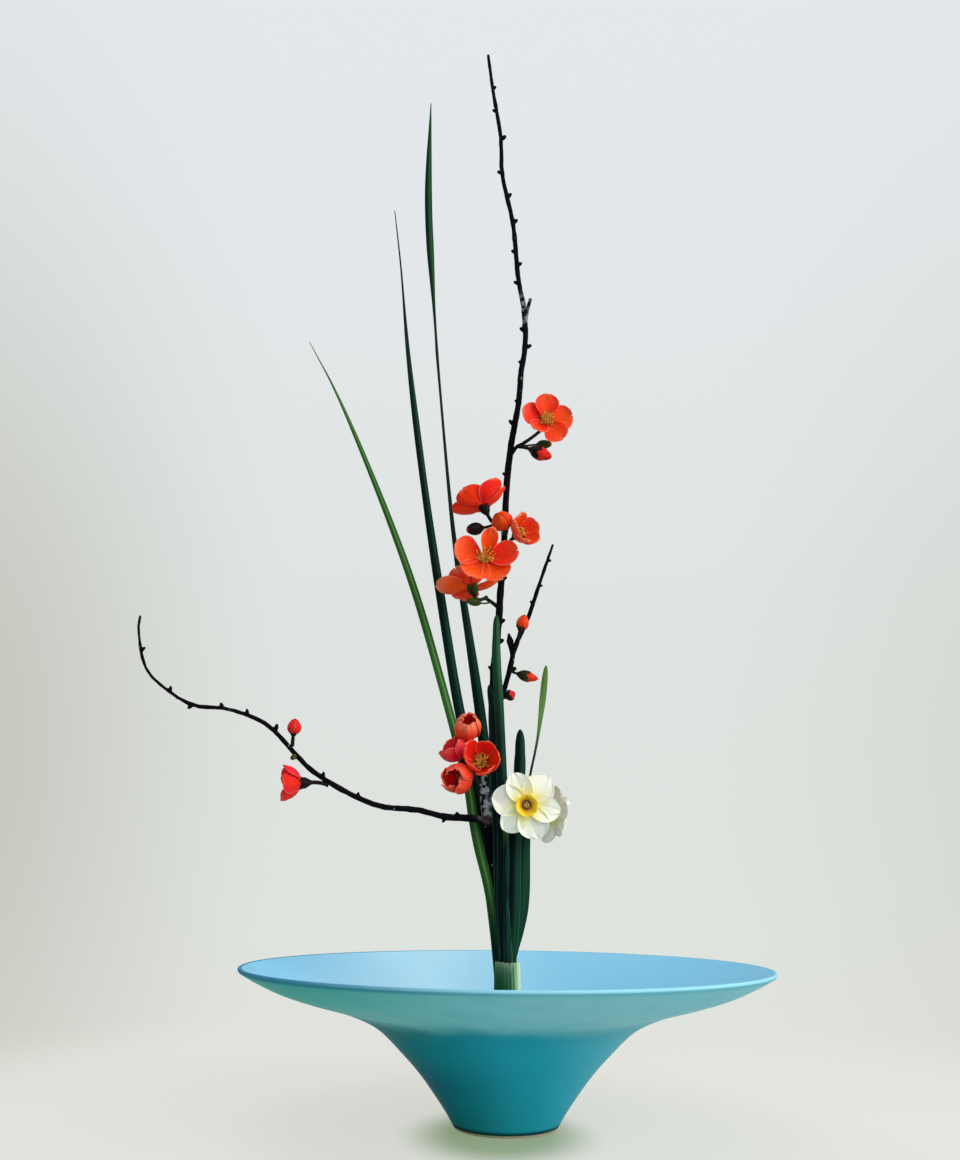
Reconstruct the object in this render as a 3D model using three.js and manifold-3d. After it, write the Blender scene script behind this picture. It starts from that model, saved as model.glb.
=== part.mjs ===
// Ikebana arrangement: flowering quince, narcissus and three long sword leaves
// standing in a pin holder on the floor of a wide pedestal bowl.
// Millimetres, +Z up. The origin is the centre of the bowl's foot, on the surface it stands on.
// The front of the arrangement faces -Y.

import * as THREE from "three";
import { mergeVertices } from "three/addons/utils/BufferGeometryUtils.js";
import Module from "manifold-3d";

const wasm = await Module();
wasm.setup();

// ---------------------------------------------------------------- driving dimensions

const GAP = 0.3; // clearance left between two pieces that touch

const RIM_RADIUS = 170; // bowl, outside
const RIM_HEIGHT = 94;
const FOOT_RADIUS = 33;
const FLOOR_HEIGHT = 54; // inside floor of the dish
const FLOOR_RADIUS = 40; // flat part of that floor
const LIP_HEIGHT = 3.6; // the rounded edge above the outside wall
const LIP_ROUNDING = 1.6;
const LIP_WIDTH = 3.2;
const BOWL_SEGMENTS = 48;

const KENZAN_RADIUS = 30; // pin holder
const KENZAN_BASE = 10;
const KENZAN_BEVEL = 0.8;
const PIN_HEIGHT = 12;
const PIN_RADIUS = 0.8;
const PIN_PITCH = 5.4;
const PIN_MARGIN = 2.5; // bare edge of the pin holder
const PIN_CLEARANCE = 1.2; // pins nearer than this to a stem are inside it, and aren't made

const STEM_FOOT = FLOOR_HEIGHT + GAP + KENZAN_BASE + GAP; // where every cut end rests

const SHEATH_CENTRE = [1, -4]; // pale leaf base that holds the narcissus together
const SHEATH_RADIUS = 8.3;
const SHEATH_WALL = 1;
const SHEATH_TOP = 97;

const LEAF_THICKNESS = 1.4;

const KNOB_LEAN = 0.7; // how much a leaf bud on the bark points up its stem
const KNOB_WIDTH = 0.32; // its half width and half height, as parts of its length
const KNOB_HEIGHT = 0.6;
const KNOB_SINK = 0.6; // where its middle sits: a part of the stem's radius,
const KNOB_RISE = 0.3; // and a part of its own length above that

const CALYX_LENGTH = 6; // quince flower
const CALYX_RADIUS = 3.2;
const PETALS = 5;
const PETAL_THICKNESS = 1;
const PETAL_NOTCH = 0.3; // depth of the cuts between petals, as a part of their length
const LOBE_SEGMENTS = 4;
const LOBE_ROUNDNESS = 0.45; // power of the cosine that shapes a lobe: smaller is fuller
const STAMEN_REACH = 0.45; // height of the stamens, as a part of the petals' length
const STALK_RADIUS = 1.1;

const TEPALS = 6; // narcissus flower
const TEPAL_NOTCH = 0.45;
const TUBE_MOUTH = 3.6; // radii of the tube behind the petals
const TUBE_FOOT = 1.8;
const OVARY_LENGTH = 6;
const OVARY_RADII = [1.4, 2.4, 1.9];
const CORONA_RADIUS = 7;
const CORONA_TAPER = 0.6; // radius of its floor, as a part of its mouth's
const CORONA_SEAT = 0.9; // height of its floor over the middle of the petals
const CORONA_DEPTH = 5;
const CORONA_WALL = 0.7;
const ANTHER_REACH = 0.64; // height of its stamens, as a part of its cup's depth

// Where each cut end stands on the pin holder: x, y and the radius it fills.
const FOOTPRINTS = [
  [...SHEATH_CENTRE, SHEATH_RADIUS],
  [-2.5, 9.8, 3.3],
  [4.6, 9.4, 2.9],
  [-3.5, 5.6, 2],
  [0.5, 5.6, 2],
  [-3, 15.2, 3],
  [1, 16.2, 4],
  [5, 16.4, 2],
];

const LEFT = [-1, 0, 0];
const RIGHT = [1, 0, 0];
const FRONT = [0, -1, 0];
const BACK = [0, 1, 0];
const ABOVE = [0, 0, 1];
const BELOW = [0, 0, -1];

// ---------------------------------------------------------------- finishes

const FINISHES = {
  glaze: { color: "#5fb0c9", roughness: 0.3, metalness: 0 },
  pin_holder: { color: "#6c6f70", roughness: 0.45, metalness: 0.8 },
  bark: { color: "#2b2228", roughness: 0.85, metalness: 0 },
  sword_leaf: { color: "#164a33", roughness: 0.45, metalness: 0 },
  narcissus_leaf: { color: "#1f5c3a", roughness: 0.45, metalness: 0 },
  sheath: { color: "#a9d2a5", roughness: 0.6, metalness: 0 },
  calyx: { color: "#4a3a26", roughness: 0.7, metalness: 0 },
  quince_petal: { color: "#ee3f1f", roughness: 0.6, metalness: 0 },
  stamen: { color: "#e6c14a", roughness: 0.7, metalness: 0 },
  tepal: { color: "#f7f6ea", roughness: 0.6, metalness: 0 },
  corona: { color: "#f6c92f", roughness: 0.6, metalness: 0 },
  papery: { color: "#a99a6a", roughness: 0.85, metalness: 0 },
};

const arrangement = new THREE.Group();

function piece(name, geometry, finish, parent = arrangement) {
  const mesh = new THREE.Mesh(geometry, new THREE.MeshStandardMaterial(FINISHES[finish]));
  mesh.name = name;
  parent.add(mesh);
  return mesh;
}

// ---------------------------------------------------------------- solids

function solidOf(geometry) {
  const bare = geometry.clone();
  bare.deleteAttribute("normal");
  bare.deleteAttribute("uv");
  const merged = mergeVertices(bare, 1e-4);
  return new wasm.Manifold(
    new wasm.Mesh({
      numProp: 3,
      vertProperties: new Float32Array(merged.attributes.position.array),
      triVerts: new Uint32Array(merged.index.array),
    }),
  );
}

function geometryOf(solid) {
  const { vertProperties, triVerts } = solid.getMesh();
  const geometry = new THREE.BufferGeometry();
  geometry.setAttribute("position", new THREE.BufferAttribute(vertProperties, 3));
  geometry.setIndex(new THREE.BufferAttribute(triVerts, 1));
  geometry.computeVertexNormals();
  return geometry;
}

function join(geometries) {
  const [first, ...rest] = geometries.map(solidOf);
  return geometryOf(rest.reduce((whole, next) => whole.add(next), first));
}

// ---------------------------------------------------------------- sweeps

function routeThrough(points) {
  const knots = points.map((point) => new THREE.Vector3(...point));
  return new THREE.CatmullRomCurve3(knots, false, "centripetal");
}

// The value at t, 0 to 1, of a list of values spread evenly from 0 to 1.
function along(values, t) {
  const place = t * (values.length - 1);
  const before = Math.min(Math.floor(place), values.length - 2);
  return THREE.MathUtils.lerp(values[before], values[before + 1], place - before);
}

// A closed bar along a route. shape(t, tangent, side) gives its half width across a
// direction at right angles to the route, and its half thickness.
function sweep(points, sides, rings, shape) {
  const route = routeThrough(points);
  const centres = route.getSpacedPoints(rings);
  const { tangents, binormals } = route.computeFrenetFrames(rings, false);
  const bar = new THREE.CylinderGeometry(1, 1, 1, sides, rings);
  const corner = bar.attributes.position;
  const point = new THREE.Vector3();
  for (let i = 0; i < corner.count; i += 1) {
    const ring = Math.round((corner.getY(i) + 0.5) * rings);
    const { across, wide, thick } = shape(ring / rings, tangents[ring], binormals[ring]);
    const through = new THREE.Vector3().crossVectors(across, tangents[ring]);
    point.copy(centres[ring]);
    point.addScaledVector(across, corner.getX(i) * wide);
    point.addScaledVector(through, corner.getZ(i) * thick);
    corner.setXYZ(i, ...point);
  }
  return bar;
}

// A round stem whose radius runs through a list of values from its foot to its tip.
function stem(points, radii, { sides = 6, rings = 24, extra = 0 } = {}) {
  return sweep(points, sides, rings, (t, tangent, side) => {
    const radius = along(radii, t) + extra;
    return { across: side, wide: radius, thick: radius };
  });
}

// A blade with a raised middle. widths run from foot to tip, and turns are the directions,
// in degrees about Z, in which the blade's width lies at evenly spread places.
function blade(points, widths, thickness, turns, rings) {
  return sweep(points, 4, rings, (t, tangent) => {
    const turn = THREE.MathUtils.degToRad(along(turns, t));
    const across = new THREE.Vector3(Math.cos(turn), Math.sin(turn), 0);
    across.addScaledVector(tangent, -across.dot(tangent)).normalize();
    const wide = along(widths, t) / 2;
    return { across, wide, thick: Math.min(thickness, wide * 1.2) / 2 };
  });
}

// How far along a route, 0 to 1, one of its coordinates reaches a value. The coordinate has
// to rise or fall steadily.
function placeWhere(route, axis, value) {
  const rising = route.getPointAt(1)[axis] > route.getPointAt(0)[axis];
  let [low, high] = [0, 1];
  while (high - low > 1e-4) {
    const middle = (low + high) / 2;
    const short = route.getPointAt(middle)[axis] < value;
    if (short === rising) low = middle;
    else high = middle;
  }
  return low;
}

// Leaf buds on bark. Each is [where along the stem, on the given axis; side of the stem; length].
function knobs(points, radii, axis, list) {
  const route = routeThrough(points);
  return list.map(([where, side, length]) => {
    const place = placeWhere(route, axis, where);
    const centre = route.getPointAt(place);
    const up = route.getTangentAt(place);
    const out = new THREE.Vector3(...side);
    out.addScaledVector(up, -out.dot(up)).normalize();
    out.addScaledVector(up, KNOB_LEAN).normalize();
    const knob = new THREE.SphereGeometry(1, 5, 4);
    knob.scale(length * KNOB_WIDTH, length * KNOB_HEIGHT, length * KNOB_WIDTH);
    knob.applyQuaternion(new THREE.Quaternion().setFromUnitVectors(new THREE.Vector3(0, 1, 0), out));
    centre.addScaledVector(out, along(radii, place) * KNOB_SINK + length * KNOB_RISE);
    knob.translate(...centre);
    return knob;
  });
}

// ---------------------------------------------------------------- bowl

// Outside of the bowl from foot to lip: a flared pedestal that opens into a shallow dish.
function bowlOutside() {
  const pedestal = new THREE.SplineCurve([
    new THREE.Vector2(FOOT_RADIUS, 0),
    new THREE.Vector2(44.5, 18),
    new THREE.Vector2(65.4, 42),
    new THREE.Vector2(83.3, 58),
    new THREE.Vector2(105, 67.8),
    new THREE.Vector2(146, 80),
    new THREE.Vector2(RIM_RADIUS - LIP_ROUNDING, RIM_HEIGHT - LIP_HEIGHT),
  ]);
  return pedestal.getPoints(14);
}

function bowl() {
  const lip = [
    new THREE.Vector2(RIM_RADIUS, RIM_HEIGHT - LIP_ROUNDING),
    new THREE.Vector2(RIM_RADIUS - 1, RIM_HEIGHT),
    new THREE.Vector2(RIM_RADIUS - LIP_WIDTH, RIM_HEIGHT - 0.6),
  ];
  const dish = [
    new THREE.Vector2(145, 86),
    new THREE.Vector2(114, 77),
    new THREE.Vector2(84, 67),
    new THREE.Vector2(58, 57.4),
    new THREE.Vector2(FLOOR_RADIUS, FLOOR_HEIGHT),
    new THREE.Vector2(0, FLOOR_HEIGHT),
  ];
  const profile = [new THREE.Vector2(0, 0), ...bowlOutside(), ...lip, ...dish];
  const turned = new THREE.LatheGeometry(profile, BOWL_SEGMENTS);
  turned.rotateX(Math.PI / 2);
  piece("bowl", turned, "glaze");
}

// ---------------------------------------------------------------- pin holder

function standsClear(x, y) {
  const inside = Math.hypot(x, y) < KENZAN_RADIUS - PIN_MARGIN;
  return inside && FOOTPRINTS.every(([cx, cy, r]) => Math.hypot(x - cx, y - cy) > r + PIN_CLEARANCE);
}

function kenzan() {
  const base = new THREE.CylinderGeometry(KENZAN_RADIUS - KENZAN_BEVEL, KENZAN_RADIUS, KENZAN_BASE, 32);
  base.rotateX(Math.PI / 2);
  base.translate(0, 0, FLOOR_HEIGHT + GAP + KENZAN_BASE / 2);
  const solids = [base];
  const rows = Math.floor(KENZAN_RADIUS / PIN_PITCH) + 1;
  for (let row = -rows; row <= rows; row += 1) {
    for (let column = -rows; column <= rows; column += 1) {
      const x = (column + (row % 2) / 2) * PIN_PITCH;
      const y = row * PIN_PITCH * Math.sin(Math.PI / 3);
      if (!standsClear(x, y)) continue;
      const pin = new THREE.ConeGeometry(PIN_RADIUS, PIN_HEIGHT + 1, 4);
      pin.rotateX(Math.PI / 2);
      pin.translate(x, y, FLOOR_HEIGHT + GAP + KENZAN_BASE + (PIN_HEIGHT - 1) / 2);
      solids.push(pin);
    }
  }
  piece("kenzan", join(solids), "pin_holder");
}

// ---------------------------------------------------------------- quince branches

const TALL_ROUTE = [
  [4.6, 9.4, STEM_FOOT], [3, 10, 110], [-1, 10, 147], [-4, 10, 200], [-6, 10, 242], [-9, 9, 284],
  [-7, 9, 306], [-5, 8, 328], [-4, 8, 350], [-2, 9, 371], [-1, 10, 395], [0, 11, 420], [2, 12, 452],
  [6, 12, 482], [10, 10, 504], [12, 7, 532], [15, 4, 549], [14, -1, 583], [10, -4, 602], [5, -12, 653],
  [-4, -18, 696], [-5, -22, 726], [-12, -25, 774], [-16, -26, 808],
];
const TALL_RADII = [2.8, 2.7, 2.6, 2.5, 2.4, 2.4, 2.2, 1.9, 1.5, 1.2, 0.9];
const TALL_KNOBS = [
  [291, LEFT, 4], [311, RIGHT, 5], [326, RIGHT, 4.5], [342, FRONT, 4], [359, RIGHT, 4], [380, BACK, 4],
  [443, LEFT, 4], [486, LEFT, 5.5], [504, LEFT, 3.5], [520, BACK, 4], [536, LEFT, 3.5], [549, RIGHT, 5.5],
  [563, LEFT, 5],
  [602, LEFT, 4.5], [617, RIGHT, 4.5], [628, LEFT, 4], [640, BACK, 4], [653, RIGHT, 4.5],
  [675, RIGHT, 4.5], [696, LEFT, 4], [711, FRONT, 4], [726, RIGHT, 5], [752, LEFT, 3.5], [774, RIGHT, 3.5],
];
const TWIG_ROUTE = [
  [-6, 10, 262], [2, 9, 288], [7, 8, 309], [16, 5, 329], [26, 0, 359], [34, -6, 382],
];
const TWIG_RADII = [1.9, 1.8, 1.7, 1.5, 1.2, 0.9];
const TWIG_KNOBS = [
  [276, LEFT, 3], [291, RIGHT, 5], [300, FRONT, 3.5], [339, LEFT, 3], [352, RIGHT, 3], [370, RIGHT, 3],
];
const TALL_SPURS = [
  [[[14, 0, 564], [16, -3, 577], [19, -7, 587]], [1.8, 1.7, 1.3]],
  [[[4, 12, 462], [9, 9, 467], [14, 6, 468]], [1.7, 1.4, 1.2]],
  [[[-4, 8, 337], [-11, 4, 341], [-15, 2, 343]], [1.6, 1.3, 1.2]],
  [[[0, 11, 408], [-6, 6, 405], [-11, 2, 402]], [1.6, 1.4, 1.2]],
  [[[4, 9, 297], [4, 9, 306], [3, 8, 313], [2, 7, 318]], [1, 0.9, 1.6, 2.2, 0.8]],
  [TWIG_ROUTE, TWIG_RADII],
];

const TRUNK_ROUTE = [
  [-2.5, 9.8, STEM_FOOT], [-4, 10, 109], [-7, 9, 138], [-10, 7.5, 160], [-12, 6, 185], [-15, 7, 208],
  [-17, 8, 222],
];
const TRUNK_RADII = [3.2, 3.2, 3.3, 3.6, 4, 4.2, 3];
const ARM_ROUTE = [
  [-12, 6, 184], [-17, 1, 186], [-24, -4, 187], [-40, -8, 187], [-58, -14, 191], [-84, -22, 193],
  [-109, -30, 203], [-130, -35, 216], [-142, -38, 228], [-158, -42, 243], [-182, -46, 252],
  [-205, -50, 254], [-223, -52, 264], [-237, -52, 277], [-246, -50, 306], [-246, -49, 314],
];
const ARM_RADII = [2.8, 2.2, 2, 1.9, 1.7, 1.5, 1.3, 1.1, 0.9];
const ARM_KNOBS = [
  [-31, ABOVE, 4], [-40, BELOW, 4], [-70, FRONT, 3.5], [-97, ABOVE, 4], [-120, ABOVE, 4.5],
  [-152, ABOVE, 5.5], [-170, ABOVE, 4.5], [-186, ABOVE, 4], [-205, BELOW, 4], [-220, ABOVE, 4.5],
  [-232, BACK, 4], [-242, RIGHT, 4],
];
const TRUNK_KNOBS = [[180, LEFT, 6], [205, FRONT, 6]];
const LOW_SPURS = [
  [[[-15, 7, 204], [-18, 8, 220], [-22, 8, 234]], [2.4, 1.9, 1.5]],
];

function spurs(list, extra = 0) {
  return list.map(([points, radii]) => stem(points, radii, { rings: 2 * points.length, extra }));
}

// The bare wood of both branches, with any clearance added to its radius.
function tallWood(extra = 0) {
  return [stem(TALL_ROUTE, TALL_RADII, { sides: 7, rings: 56, extra }), ...spurs(TALL_SPURS, extra)];
}

function lowWood(extra = 0) {
  return [
    stem(TRUNK_ROUTE, TRUNK_RADII, { sides: 7, rings: 14, extra }),
    stem(ARM_ROUTE, ARM_RADII, { rings: 40, extra }),
    ...spurs(LOW_SPURS, extra),
  ];
}

function quinceBranches() {
  const tall = [
    ...tallWood(),
    ...knobs(TALL_ROUTE, TALL_RADII, "z", TALL_KNOBS),
    ...knobs(TWIG_ROUTE, TWIG_RADII, "z", TWIG_KNOBS),
  ];
  piece("quince_branch_tall", join(tall), "bark");
  const low = [
    ...lowWood(),
    ...knobs(TRUNK_ROUTE, TRUNK_RADII, "z", TRUNK_KNOBS),
    ...knobs(ARM_ROUTE, ARM_RADII, "x", ARM_KNOBS),
  ];
  piece("quince_branch_low", join(low), "bark");
}

// The wood with a clearance all round it, for cutting what grows from it.
const BARK = solidOf(join([...tallWood(GAP), ...lowWood(GAP)]));

// ---------------------------------------------------------------- long leaves

function swordLeaves() {
  const leaves = {
    sword_leaf_left: {
      points: [[-3.5, 5.6, STEM_FOOT], [-6, 5.2, 103], [-10.5, 4.3, 138], [-16.2, 2.5, 160],
        [-21.6, 7.6, 184], [-24.8, 10, 205], [-44, 16, 276], [-71, 27, 364], [-111, 38, 467],
        [-141, 44, 535], [-164, 48, 579]],
      widths: [4.5, 6, 6.8, 6.5, 6, 6, 5.5, 4.5, 3.5, 2, 0.5],
      turns: [0, 0, 0, 10, 15, 10, 5, 0, 0, 20, 40],
    },
    sword_leaf_middle: {
      points: [[-3, 15.2, STEM_FOOT], [-5, 15.2, 96], [-10, 15, 138], [-20, 15, 205], [-34, 16, 269],
        [-46, 14, 336], [-55, 12, 389], [-65, 8, 454], [-76, 0, 536], [-84, -10, 614], [-90, -16, 661]],
      widths: [6, 7, 8, 7.5, 7, 6.5, 5.5, 4.5, 3, 2, 0.5],
      turns: [0, 0, 0, 5, 10, 5, 0, 10, 40, 75, 60],
    },
    sword_leaf_tall: {
      points: [[1, 17.4, STEM_FOOT], [-1, 18.2, 96], [-5, 19, 138], [-11, 21, 206], [-19, 23, 270],
        [-26, 25, 317], [-39, 28, 401], [-52, 30, 522], [-59, 30, 604], [-66, 28, 704], [-66, 24, 804]],
      widths: [6.5, 7.5, 8, 7.5, 7, 6, 5, 4.5, 5, 4, 0.5],
      turns: [0, 0, 0, 0, 0, 5, 10, 75, 20, 0, 20],
    },
  };
  for (const [name, leaf] of Object.entries(leaves)) {
    piece(name, blade(leaf.points, leaf.widths, LEAF_THICKNESS, leaf.turns, 26), "sword_leaf");
  }
}

// ---------------------------------------------------------------- narcissus

function narcissusLeaves() {
  const leaves = {
    narcissus_leaf_front: {
      points: [[0, -5, STEM_FOOT], [0, -5, 97], [-2, -5, 131], [-2, -5, 171], [-3, -5, 218], [-5, -4, 267],
        [-7, -4, 299], [-7, -4, 329]],
      widths: [8, 8, 8, 8, 8, 7.5, 7, 6.5, 6, 5.5, 2],
      turns: [0, 0, 0, 5, 10, 5, 0],
    },
    narcissus_leaf_left: {
      points: [[1, -3, STEM_FOOT], [0, -3, 97], [-3, -3, 131], [-4, -2.4, 171], [-7, -2, 226],
        [-10, -0.5, 266], [-12, 1, 279]],
      widths: [8.5, 8.5, 9, 9, 9, 9, 9, 9, 8, 6.5, 1.5],
      turns: [0, 0, 0, 0, 5, 10, 10],
    },
    narcissus_leaf_short: {
      points: [[1.5, -1, STEM_FOOT], [2, -1, 97], [4.5, -0.8, 131], [6, 0.5, 172], [9.5, 2, 220],
        [10, 2.5, 248]],
      widths: [8.5, 9, 10, 10, 9.5, 9, 8.5, 8, 7, 6, 1.5],
      turns: [0, 0, 0, 0, 0, -5],
    },
    narcissus_leaf_right: {
      points: [[1.2, 1, STEM_FOOT], [1.4, 1, 97], [8.5, 2.2, 131], [12, 3.5, 172], [17, 6, 216],
        [22, 7, 239], [25, 8, 259], [29, 8, 295]],
      widths: [6, 6.4, 9.5, 10, 8.5, 7, 5, 4.5, 5, 5, 2],
      turns: [0, 0, 0, 0, 20, 65, 50, 20, 0],
    },
  };
  for (const [name, leaf] of Object.entries(leaves)) {
    piece(name, blade(leaf.points, leaf.widths, LEAF_THICKNESS, leaf.turns, 18), "narcissus_leaf");
  }
}

function narcissusSheath() {
  const inner = SHEATH_RADIUS - SHEATH_WALL;
  const wall = [
    [inner, STEM_FOOT], [SHEATH_RADIUS, STEM_FOOT], [SHEATH_RADIUS, SHEATH_TOP], [inner, SHEATH_TOP],
  ];
  const profile = [...wall, wall[0]].map(([r, z]) => new THREE.Vector2(r, z));
  const sleeve = new THREE.LatheGeometry(profile, 20);
  sleeve.rotateX(Math.PI / 2);
  sleeve.translate(...SHEATH_CENTRE, 0);
  piece("narcissus_sheath", sleeve, "sheath");
}

// The two flowers: where the mouth of the tube is, which way it faces, and its sizes.
const NARCISSUS = {
  front: { seat: [13, -24, 194.5], facing: [-0.04, -1, -0.2], reach: 22.5, cup: 5, tube: 13, spin: 46,
    stalk: [[-1, -8, 200], [-0.5, -7.5, 210], [5, -4, 215], [10, -2, 210], [13, -2, 203]] },
  back: { seat: [30, -7, 190], facing: [0.87, 0.5, -0.1], reach: 17, cup: 6, tube: 8, spin: 30,
    stalk: [[-1, -8, 200], [1.5, -10.5, 209], [9, -14, 213], [17, -16, 207], [19, -15, 198]] },
};

function facingTurn(facing) {
  const front = new THREE.Vector3(...facing).normalize();
  return new THREE.Quaternion().setFromUnitVectors(new THREE.Vector3(0, 0, 1), front);
}

// A point on the flower's axis, at a distance in front of its seat.
function onAxis({ seat, facing }, distance) {
  return new THREE.Vector3(...seat).addScaledVector(new THREE.Vector3(...facing).normalize(), distance);
}

// All the petals of a flower that faces +Z, joined at the middle: a thin lobed plate of one
// closed surface. cup is how far the petals are lifted, and notch how deep the cuts between
// them go, as a part of their length.
function corolla(petals, { reach, cup, spin }, notch, height) {
  const plate = new THREE.SphereGeometry(1, petals * LOBE_SEGMENTS, 6);
  const lift = THREE.MathUtils.degToRad(cup);
  const start = THREE.MathUtils.degToRad(spin);
  const corner = plate.attributes.position;
  for (let i = 0; i < corner.count; i += 1) {
    const [x, y, z] = [corner.getX(i), corner.getY(i), corner.getZ(i)];
    const turn = Math.atan2(z, x);
    const lobe = 1 - notch * (1 - Math.abs(Math.cos((petals * turn) / 2)) ** LOBE_ROUNDNESS);
    const out = Math.hypot(x, z) * reach * lobe;
    const inward = (y * PETAL_THICKNESS * Math.sin(lift) * Math.hypot(x, z)) / 2;
    const radius = out * Math.cos(lift) - inward;
    const level = height + out * Math.sin(lift) + (y * PETAL_THICKNESS * Math.cos(lift)) / 2;
    corner.setXYZ(i, radius * Math.cos(start - turn), radius * Math.sin(start - turn), level);
  }
  return plate;
}

function upright(geometry, height) {
  geometry.rotateX(Math.PI / 2);
  geometry.translate(0, 0, height);
  return geometry;
}

function narcissusFlower(name, flower) {
  const group = new THREE.Group();
  group.position.set(...flower.seat);
  group.quaternion.copy(facingTurn(flower.facing));
  arrangement.add(group);

  const tube = upright(new THREE.CylinderGeometry(TUBE_MOUTH, TUBE_FOOT, flower.tube, 8), -flower.tube / 2);
  const tepals = corolla(TEPALS, flower, TEPAL_NOTCH, 0);
  piece(`narcissus_${name}_petals`, join([tube, tepals]), "tepal", group);

  const narrow = CORONA_RADIUS * CORONA_TAPER;
  const mouth = CORONA_SEAT + CORONA_DEPTH;
  const inside = CORONA_SEAT + CORONA_WALL;
  const cup = [
    [0, CORONA_SEAT], [narrow, CORONA_SEAT], [CORONA_RADIUS, mouth], [CORONA_RADIUS - CORONA_WALL, mouth],
    [narrow - CORONA_WALL, inside], [0, inside],
  ];
  const turned = new THREE.LatheGeometry(cup.map(([r, z]) => new THREE.Vector2(r, z)), 14);
  turned.rotateX(Math.PI / 2);
  piece(`narcissus_${name}_corona`, turned, "corona", group);

  const tall = CORONA_DEPTH * ANTHER_REACH;
  const anthers = upright(new THREE.CylinderGeometry(1.6, 0.8, tall, 6), inside + GAP + tall / 2);
  piece(`narcissus_${name}_stamens`, anthers, "stamen", group);
}

function narcissusScape() {
  const stalk = [[0.5, -8.2, STEM_FOOT], [0, -9, 131], [-0.5, -9, 177], [-1, -8, 202]];
  const parts = [stem(stalk, [1.9, 1.9, 1.8], { sides: 7, rings: 10 })];
  for (const flower of Object.values(NARCISSUS)) {
    const back = onAxis(flower, -flower.tube - GAP);
    const ovaryEnd = onAxis(flower, -flower.tube - OVARY_LENGTH);
    parts.push(stem([...flower.stalk, ovaryEnd.toArray()], [1.3, 1.1, 1.1, 1.1], { sides: 6, rings: 10 }));
    parts.push(stem([ovaryEnd.toArray(), back.toArray()], OVARY_RADII, { sides: 7, rings: 4 }));
  }
  piece("narcissus_scape", join(parts), "narcissus_leaf");
  const bract = blade([[1.1, -9.7, 202], [2.2, -10.3, 196], [2, -10.9, 189], [3.6, -11.6, 182]],
    [3, 4.5, 3.5, 0.8], 0.8, [20, 0, -20], 8);
  piece("narcissus_spathe", bract, "papery");
}

// ---------------------------------------------------------------- quince flowers

// seat is the mouth of the calyx, facing the way the flower looks, reach the petals' length,
// cup how far they close (0 is flat), spin the turn about the axis, root where the stalk grows.
const BLOOMS = {
  top: { seat: [30, -3, 482], facing: [0.1, -1, 0], reach: 20.5, cup: 14, spin: 23, root: [13, 6.5, 468] },
  fan: { seat: [-16, -2, 411], facing: [-0.4, 0.1, 0.9], reach: 21, cup: 26, spin: 20, root: [-10, 3, 402] },
  small_cup: { seat: [8, -6.5, 389], facing: [0.5, -0.75, 0.4], reach: 16, cup: 52, spin: 0,
    root: [-1.5, 9.5, 382] },
  open: { seat: [-16, -17, 366], facing: [0.12, -0.96, 0.22], reach: 25.5, cup: 16, spin: 18,
    root: [-2, 9, 362] },
  lower: { seat: [-24, -3, 348], facing: [-0.97, -0.2, 0.03], reach: 20, cup: 44, spin: 15,
    root: [-14, 2, 343] },
  crown: { seat: [-27, -1, 243], facing: [0, -0.86, 0.5], reach: 18, cup: 54, spin: 18,
    root: [-21, 8, 231] },
  face: { seat: [-17, -14, 222], facing: [0.14, -0.98, -0.05], reach: 17, cup: 38, spin: 0,
    root: [-17, 8, 218] },
  back: { seat: [-30, -2, 227], facing: [-0.65, -0.4, 0.6], reach: 15, cup: 50, spin: 30,
    root: [-18, 8, 220] },
  lower_cup: { seat: [-28, -7.5, 213.5], facing: [-0.4, -0.85, -0.25], reach: 18.5, cup: 54, spin: 10,
    root: [-15, 7, 209] },
  arm: { seat: [-133, -36, 206], facing: [-0.95, -0.25, -0.1], reach: 16.5, cup: 50, spin: 0,
    root: [-113, -31, 205] },
};

function calyx(bloom) {
  const { seat, root } = bloom;
  const bell = upright(new THREE.CylinderGeometry(CALYX_RADIUS, STALK_RADIUS * 1.3, CALYX_LENGTH, 7),
    -CALYX_LENGTH / 2);
  bell.applyQuaternion(facingTurn(bloom.facing));
  bell.translate(...seat);
  const heel = onAxis(bloom, -CALYX_LENGTH - 1);
  const stalk = stem([root, heel.toArray(), onAxis(bloom, -CALYX_LENGTH / 2).toArray()],
    [STALK_RADIUS, STALK_RADIUS], { sides: 5, rings: 4 });
  return geometryOf(solidOf(join([bell, stalk])).subtract(BARK));
}

function quinceBloom(name, bloom) {
  piece(`quince_${name}_calyx`, calyx(bloom), "calyx");
  const group = new THREE.Group();
  group.position.set(...bloom.seat);
  group.quaternion.copy(facingTurn(bloom.facing));
  arrangement.add(group);

  const middle = GAP + PETAL_THICKNESS / 2;
  piece(`quince_${name}_petals`, corolla(PETALS, bloom, PETAL_NOTCH, middle), "quince_petal", group);

  const tall = bloom.reach * STAMEN_REACH;
  const spread = 1.1 + (2.4 * (60 - bloom.cup)) / 60;
  const tuft = new THREE.CylinderGeometry(spread, 0.5, tall, 6);
  piece(`quince_${name}_stamens`, upright(tuft, 2 * middle + GAP + tall / 2), "stamen", group);
}

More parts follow.
